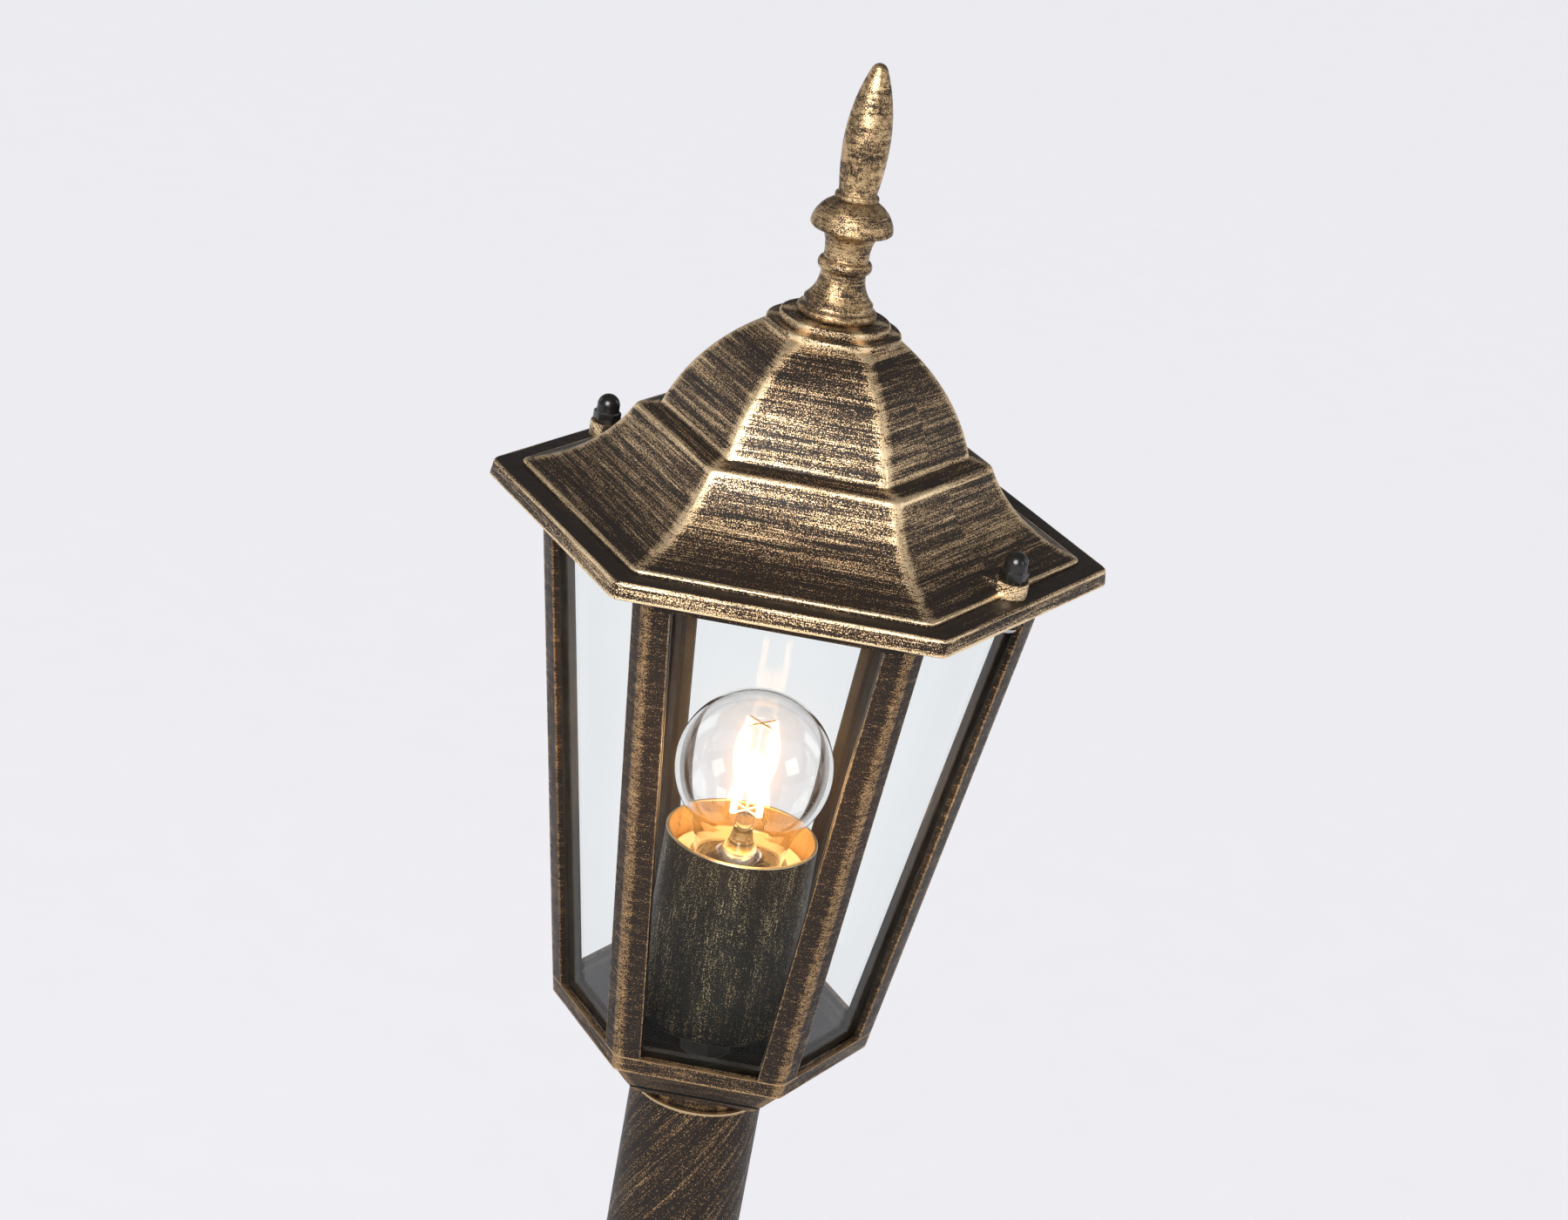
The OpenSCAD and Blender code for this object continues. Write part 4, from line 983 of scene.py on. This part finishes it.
@dataclass
class Lantern:
    """Cast frame with its panes and studs."""

    foot: Point2 = (40.36, 515.4)
    lean: float = 0.1405
    flange: float = 2.0
    floor_z: float = 506.0
    rail_z: float = 520.3
    collar: tuple[Point2, ...] = ((29.0, 503.5), (30.6, 505.0), (32.5, 507.0), (34.3, 509.0), (36.0, 511.0),
                                  (37.7, 513.0), (39.5, 515.4))

    def casting(self) -> Object:
        """A merged copy of the frame, with its collar drawn to the photograph's taper."""
        bench = Bench("frame_casting").from_node("lantern_frame")
        bench.edit("VERT")
        heights = {round(v.co.z / MM, 2) for v in bmesh.from_edit_mesh(bench.obj.data).verts
                   if self.on_collar(v.co / MM)}
        for height in sorted(heights):
            bpy.ops.mesh.select_all(action="DESELECT")
            bench.pick("verts", lambda corners: self.on_collar(corners[0])
                       and abs(corners[0].z - height) < 0.01)
            reach = max(RoofCap.flat_reach(v.co / MM)
                        for v in bmesh.from_edit_mesh(bench.obj.data).verts if v.select)
            share = self.taper(height) / reach
            bpy.ops.transform.resize(value=(share, share, 1), center_override=(0, 0, height * MM))
        LOG.info("collar: %d rings drawn in", len(heights))
        return bench.smooth(30)

    def on_collar(self, corner: Vector) -> bool:
        """True for a corner on the collar's outer side."""
        reach = RoofCap.flat_reach(corner)
        low = self.collar[0][1] - 0.1 < corner.z < self.foot[1] + 0.05
        outer = reach > 33.4 or (reach > 28.0 and corner.z < self.floor_z - 0.1)
        return low and outer and reach < self.foot[0] - 1

    def taper(self, height: float) -> float:
        """The collar's reach at a height, measured square to its side."""
        for (low, z0), (high, z1) in zip(self.collar, self.collar[1:]):
            if height <= z1:
                return low + (high - low) * (height - z0) / (z1 - z0)
        return self.collar[-1][0]

    def inside(self, corner: Vector) -> bool:
        """True for a corner on the lantern's inner side."""
        reach = RoofCap.flat_reach(corner)
        if corner.z < self.foot[1] + 0.1:
            return corner.z > self.floor_z - 0.1 and reach < 33.4
        return self.foot[0] + (corner.z - self.foot[1]) * self.lean - reach > self.flange - 0.1

    def line(self, obj: Object, palette: Palette) -> None:
        """Gives the inner faces their own finishes: black round the floor, brown on the posts."""
        bench = Bench(obj.name, obj)
        linings = (("inner_brown", self.rail_z, 700), ("inner_black", 0, self.rail_z))
        for slot, (name, low, high) in enumerate(linings, 1):
            obj.data.materials.append(palette[name])
            bench.edit("FACE")
            found = bench.pick("faces", lambda corners: all(self.inside(c) for c in corners)
                               and low <= sum(c.z for c in corners) / len(corners) < high)
            obj.active_material_index = slot
            bpy.ops.object.material_slot_assign()
            bpy.ops.object.mode_set(mode="OBJECT")
            LOG.info("%s: %d faces", name, found)

    def build(self, palette: Palette) -> None:
        """Dresses the frame, the panes and the studs."""
        casting = self.casting()
        settle(casting, ROOT, palette["frame_gold"], "antique_gold", "lantern_frame")
        self.line(casting, palette)
        dress(palette["pane_glass"], *(f"glass_pane_{number}" for number in range(1, SIDES + 1)))
        dress(palette["steel"], "roof_stud_front", "roof_stud_rear")


@dataclass
class LampHolder:
    """Cup, porcelain holder and the long nut under them."""

    cup_r: float = 21.9
    cup_z: float = 517.3
    cup_top: float = 575.8
    cup_wall: float = 1.2
    floor_t: float = 2.0
    bore_r: float = 5.05
    edge_r: float = 3.0

    def cup(self) -> Object:
        """Turns the cup, with a rounded lower edge and a rolled rim."""
        inner, rim = self.cup_r - self.cup_wall, self.cup_wall / 2
        corner = (self.cup_r - self.edge_r, self.cup_z + self.edge_r)
        profile = [(self.bore_r, self.cup_z), (corner[0] - 2, self.cup_z)]
        profile += arc(corner, self.edge_r, -90, 0, 8)
        profile += arc((self.cup_r - rim, self.cup_top - rim), rim, 0, 180, 8)
        floor = self.cup_z + self.floor_t
        profile += [(inner, self.cup_z + self.edge_r), (corner[0], floor), (self.bore_r, floor)]
        return Bench("cup_turned").chain(profile, 96, closed=True).smooth(40)

    def build(self, palette: Palette) -> None:
        """Models and dresses the cup, and dresses the holder."""
        settle(self.cup(), ROOT, palette["cup_gold"], "antique_black", "lamp_cup")
        refined = (("holder_body", 35, "porcelain", "porcelain"),
                   ("clamp_nut", 30, "zinc_nut", "bare_steel"))
        for node, angle, finish, slot in refined:
            copy = Bench(f"{node}_smooth").from_node(node).smooth(angle)
            settle(copy, ROOT, palette[finish], slot, node)
        dress(palette["brass"], "holder_shell", "holder_contact", "holder_screws")


@dataclass
class Bulb:
    """Clear golf-ball bulb with its stem, wires and glowing filaments."""

    centre_z: float = 596.6
    radius: float = 22.5
    neck_r: float = 13.0
    neck_len: float = 29.0
    glass_t: float = 0.8

    def outline(self, inset: float, steps: int) -> list[Point2]:
        """Side of the bulb from its neck to its top, as the solid's: a ball with a tangent arc."""
        r, neck = self.radius - inset, self.neck_r - inset
        sweep = (self.neck_len**2 + neck**2 - r**2) / (2 * (r - neck))
        share = r / (r + sweep)
        meet = ((neck + sweep) * share, -self.neck_len * share)
        side = arc_through((neck, -self.neck_len), meet, (neck + sweep, -self.neck_len), 10)
        ball = arc_through(meet, (0.4, sqrt(r * r - 0.16)), (0, 0), steps)
        return [(x, self.centre_z + z) for x, z in side[:-1] + ball]

    def glass(self) -> Object:
        """Blows the bulb's glass: an outer and an inner skin joined at the neck."""
        bench = Bench("bulb_blown").chain(self.outline(0, 30), 96)
        skin = Bench("bulb_inner_skin").chain(self.outline(self.glass_t, 30)[::-1], 96)
        for item in (bench, skin):
            item.edit("FACE")
            item.pick("faces", lambda corners: len(corners) > 20 and corners[0].z < self.centre_z)
            bpy.ops.mesh.delete(type="FACE")
        skin.edit("FACE")
        bpy.ops.mesh.select_all(action="SELECT")
        bpy.ops.mesh.normals_make_consistent(inside=True)
        bench.join([skin.obj])
        bench.edit("EDGE")
        neck_end = self.centre_z - self.neck_len
        bench.pick("edges", lambda corners: all(c.z < neck_end + 0.01 for c in corners))
        bpy.ops.mesh.bridge_edge_loops()
        return bench.smooth(60)

    def build(self, palette: Palette) -> None:
        """Models and dresses the bulb."""
        settle(self.glass(), BULB, palette["bulb_glass"], "clear_glass", "bulb_glass")
        stem = Bench("stem_pressed").from_node("bulb_stem").smooth(40)
        settle(stem, BULB, palette["bulb_glass"], "clear_glass", "bulb_stem")
        dress(palette["bright_metal"], "bulb_cap", "bulb_contact")
        dress(palette["black_plastic"], "bulb_insulator")
        dress(palette["steel"], "bulb_leads")
        dress(palette["filament"], "bulb_filaments")


@dataclass
class PoleAndBase:
    """Pole, base casting, tie rod and the wiring in the base."""

    def build(self, palette: Palette) -> None:
        """Dresses the pole, the base and what they hold."""
        pole = Bench("pole_tube").from_node("pole").smooth(30)
        settle(pole, ROOT, palette["pole_gold"], "antique_black", "pole")
        base = Bench("base_casting").from_node("base_flange").smooth(30)
        settle(base, ROOT, palette["turned_gold"], "antique_gold", "base_flange")
        dress(palette["steel"], "tie_rod", "tie_washer", "tie_nut", "terminal_screws", "block_screw")
        dress(palette["brass"], "earth_screw")
        dress(palette["white_plastic"], "terminal_block")
        dress(palette["cable_rubber"], "internal_cable")


# Camera, floor and lights


@dataclass(frozen=True)
class PhotoCamera:
    """Camera at the photograph's place."""

    place: Point3 = (4.218, -890.371, 998.475)
    lens: float = 79.38
    azimuth: float = 0.247
    elevation: float = 21.664
    roll: float = 10.235

    def build(self) -> None:
        """Sets the scene's camera."""
        a, e, r = radians(self.azimuth), radians(self.elevation), radians(self.roll)
        back = Vector((sin(a) * cos(e), -cos(a) * cos(e), sin(e)))
        right = Vector((cos(a), sin(a), 0))
        up = back.cross(right)
        across = cos(r) * right + sin(r) * up
        upward = -sin(r) * right + cos(r) * up
        data = bpy.data.cameras.new("photo_camera")
        data.lens = self.lens
        data.sensor_width = 36
        data.sensor_fit = "HORIZONTAL"
        data.clip_start = 0.02
        data.clip_end = 50
        camera = add_object("photo_camera", data)
        turn = Matrix((across, upward, back)).transposed().to_4x4()
        camera.matrix_world = Matrix.Translation(Vector(self.place) * MM) @ turn
        bpy.context.scene.camera = camera


@dataclass(frozen=True)
class SoftBox:
    """One soft light that points at the lantern."""

    name: str
    place: Point3
    size: float
    power: float

    def build(self, target: Vector) -> None:
        """Hangs the light, aimed at the target."""
        data = bpy.data.lights.new(self.name, "AREA")
        data.shape = "SQUARE"
        data.size = self.size
        data.energy = self.power
        light = add_object(self.name, data)
        light.location = self.place
        light.rotation_euler = (Vector(self.place) - target).to_track_quat("Z", "Y").to_euler()


@dataclass(frozen=True)
class Studio:
    """Plain pale floor, soft lights and the bulb's own glow."""

    floor_color: Color = (0.84, 0.84, 0.88)
    floor_light: float = 0.80
    world_color: Color = (0.95, 0.96, 1.0)
    world_light: float = 0.18
    target: Point3 = (0, 0, 0.65)
    glow_color: Color = (1.0, 0.50, 0.13)
    glow_power: float = 0.95
    glow_size: float = 0.004
    glow_place: Point3 = (0, 0, 0.5966)
    boxes: tuple[SoftBox, ...] = (
        SoftBox("key_front", (-0.50, -2.05, 1.95), 1.35, 114),
        SoftBox("side_left", (-1.9, 0.9, 1.4), 1.0, 4),
        SoftBox("side_right", (1.9, 0.7, 1.4), 1.0, 5),
        SoftBox("front_right", (2.1, -1.1, 1.5), 0.9, 8),
    )

    def build(self) -> None:
        """Builds floor, world and lights."""
        Bench.clear()
        bpy.ops.mesh.primitive_plane_add(size=40, location=(0, 0, 0))
        floor = bpy.context.active_object
        floor.name = "studio_floor"
        floor.data.materials.append(self.paper())
        world = bpy.data.worlds.new("studio_world")
        world.use_nodes = True
        sky = world.node_tree.nodes["Background"]
        sky.inputs[0].default_value = (*self.world_color, 1.0)
        sky.inputs[1].default_value = self.world_light
        bpy.context.scene.world = world
        for box in self.boxes:
            box.build(Vector(self.target))
        glow = bpy.data.lights.new("bulb_glow", "POINT")
        glow.energy = self.glow_power
        glow.color = self.glow_color
        glow.shadow_soft_size = self.glow_size
        add_object("bulb_glow", glow).location = self.glow_place
        bpy.context.scene.view_settings.view_transform = "Standard"
        self.bloom(bpy.context.scene)

    @staticmethod
    def bloom(scene: bpy.types.Scene) -> None:
        """Adds the camera's warm bloom round the glowing filaments."""
        scene.use_nodes = True
        tree = scene.node_tree
        tree.nodes.clear()
        layers = tree.nodes.new("CompositorNodeRLayers")
        glare = tree.nodes.new("CompositorNodeGlare")
        glare.glare_type = "BLOOM"
        tint = (1.0, 0.62, 0.25, 1.0)
        settings = {"Threshold": 4.0, "Maximum": 30.0, "Strength": 0.35, "Tint": tint, "Size": 0.35}
        for name, value in settings.items():
            glare.inputs[name].default_value = value
        picture = tree.nodes.new("CompositorNodeComposite")
        tree.links.new(layers.outputs["Image"], glare.inputs["Image"])
        tree.links.new(glare.outputs["Image"], picture.inputs["Image"])

    def paper(self) -> Material:
        """Lit paper: even all over, so that the ground stays as plain as the photograph's."""
        graph = Graph("floor_paper")
        fibre = graph.noise(graph.place, 25, 2)
        light = tuple(channel * 1.01 for channel in self.floor_color)
        tone = graph.ramp(fibre, [(0.3, self.floor_color), (0.7, light)])
        graph.set("Base Color", (0.05, 0.05, 0.05))
        graph.set("Roughness", 0.9)
        graph.set("Emission Color", tone)
        graph.set("Emission Strength", self.floor_light / self.floor_color[0])
        return graph.material


def main() -> None:
    """Builds the light and its studio."""
    logging.basicConfig(level=logging.INFO, format="%(message)s")
    palette = Palette()
    palette.build()
    PhotoCamera().build()
    for assembly in (PoleAndBase(), Lantern(), LampHolder(), Bulb(), RoofCap()):
        LOG.info("building %s", type(assembly).__name__)
        assembly.build(palette)
    Studio().build()


if __name__ == "__main__":
    main()
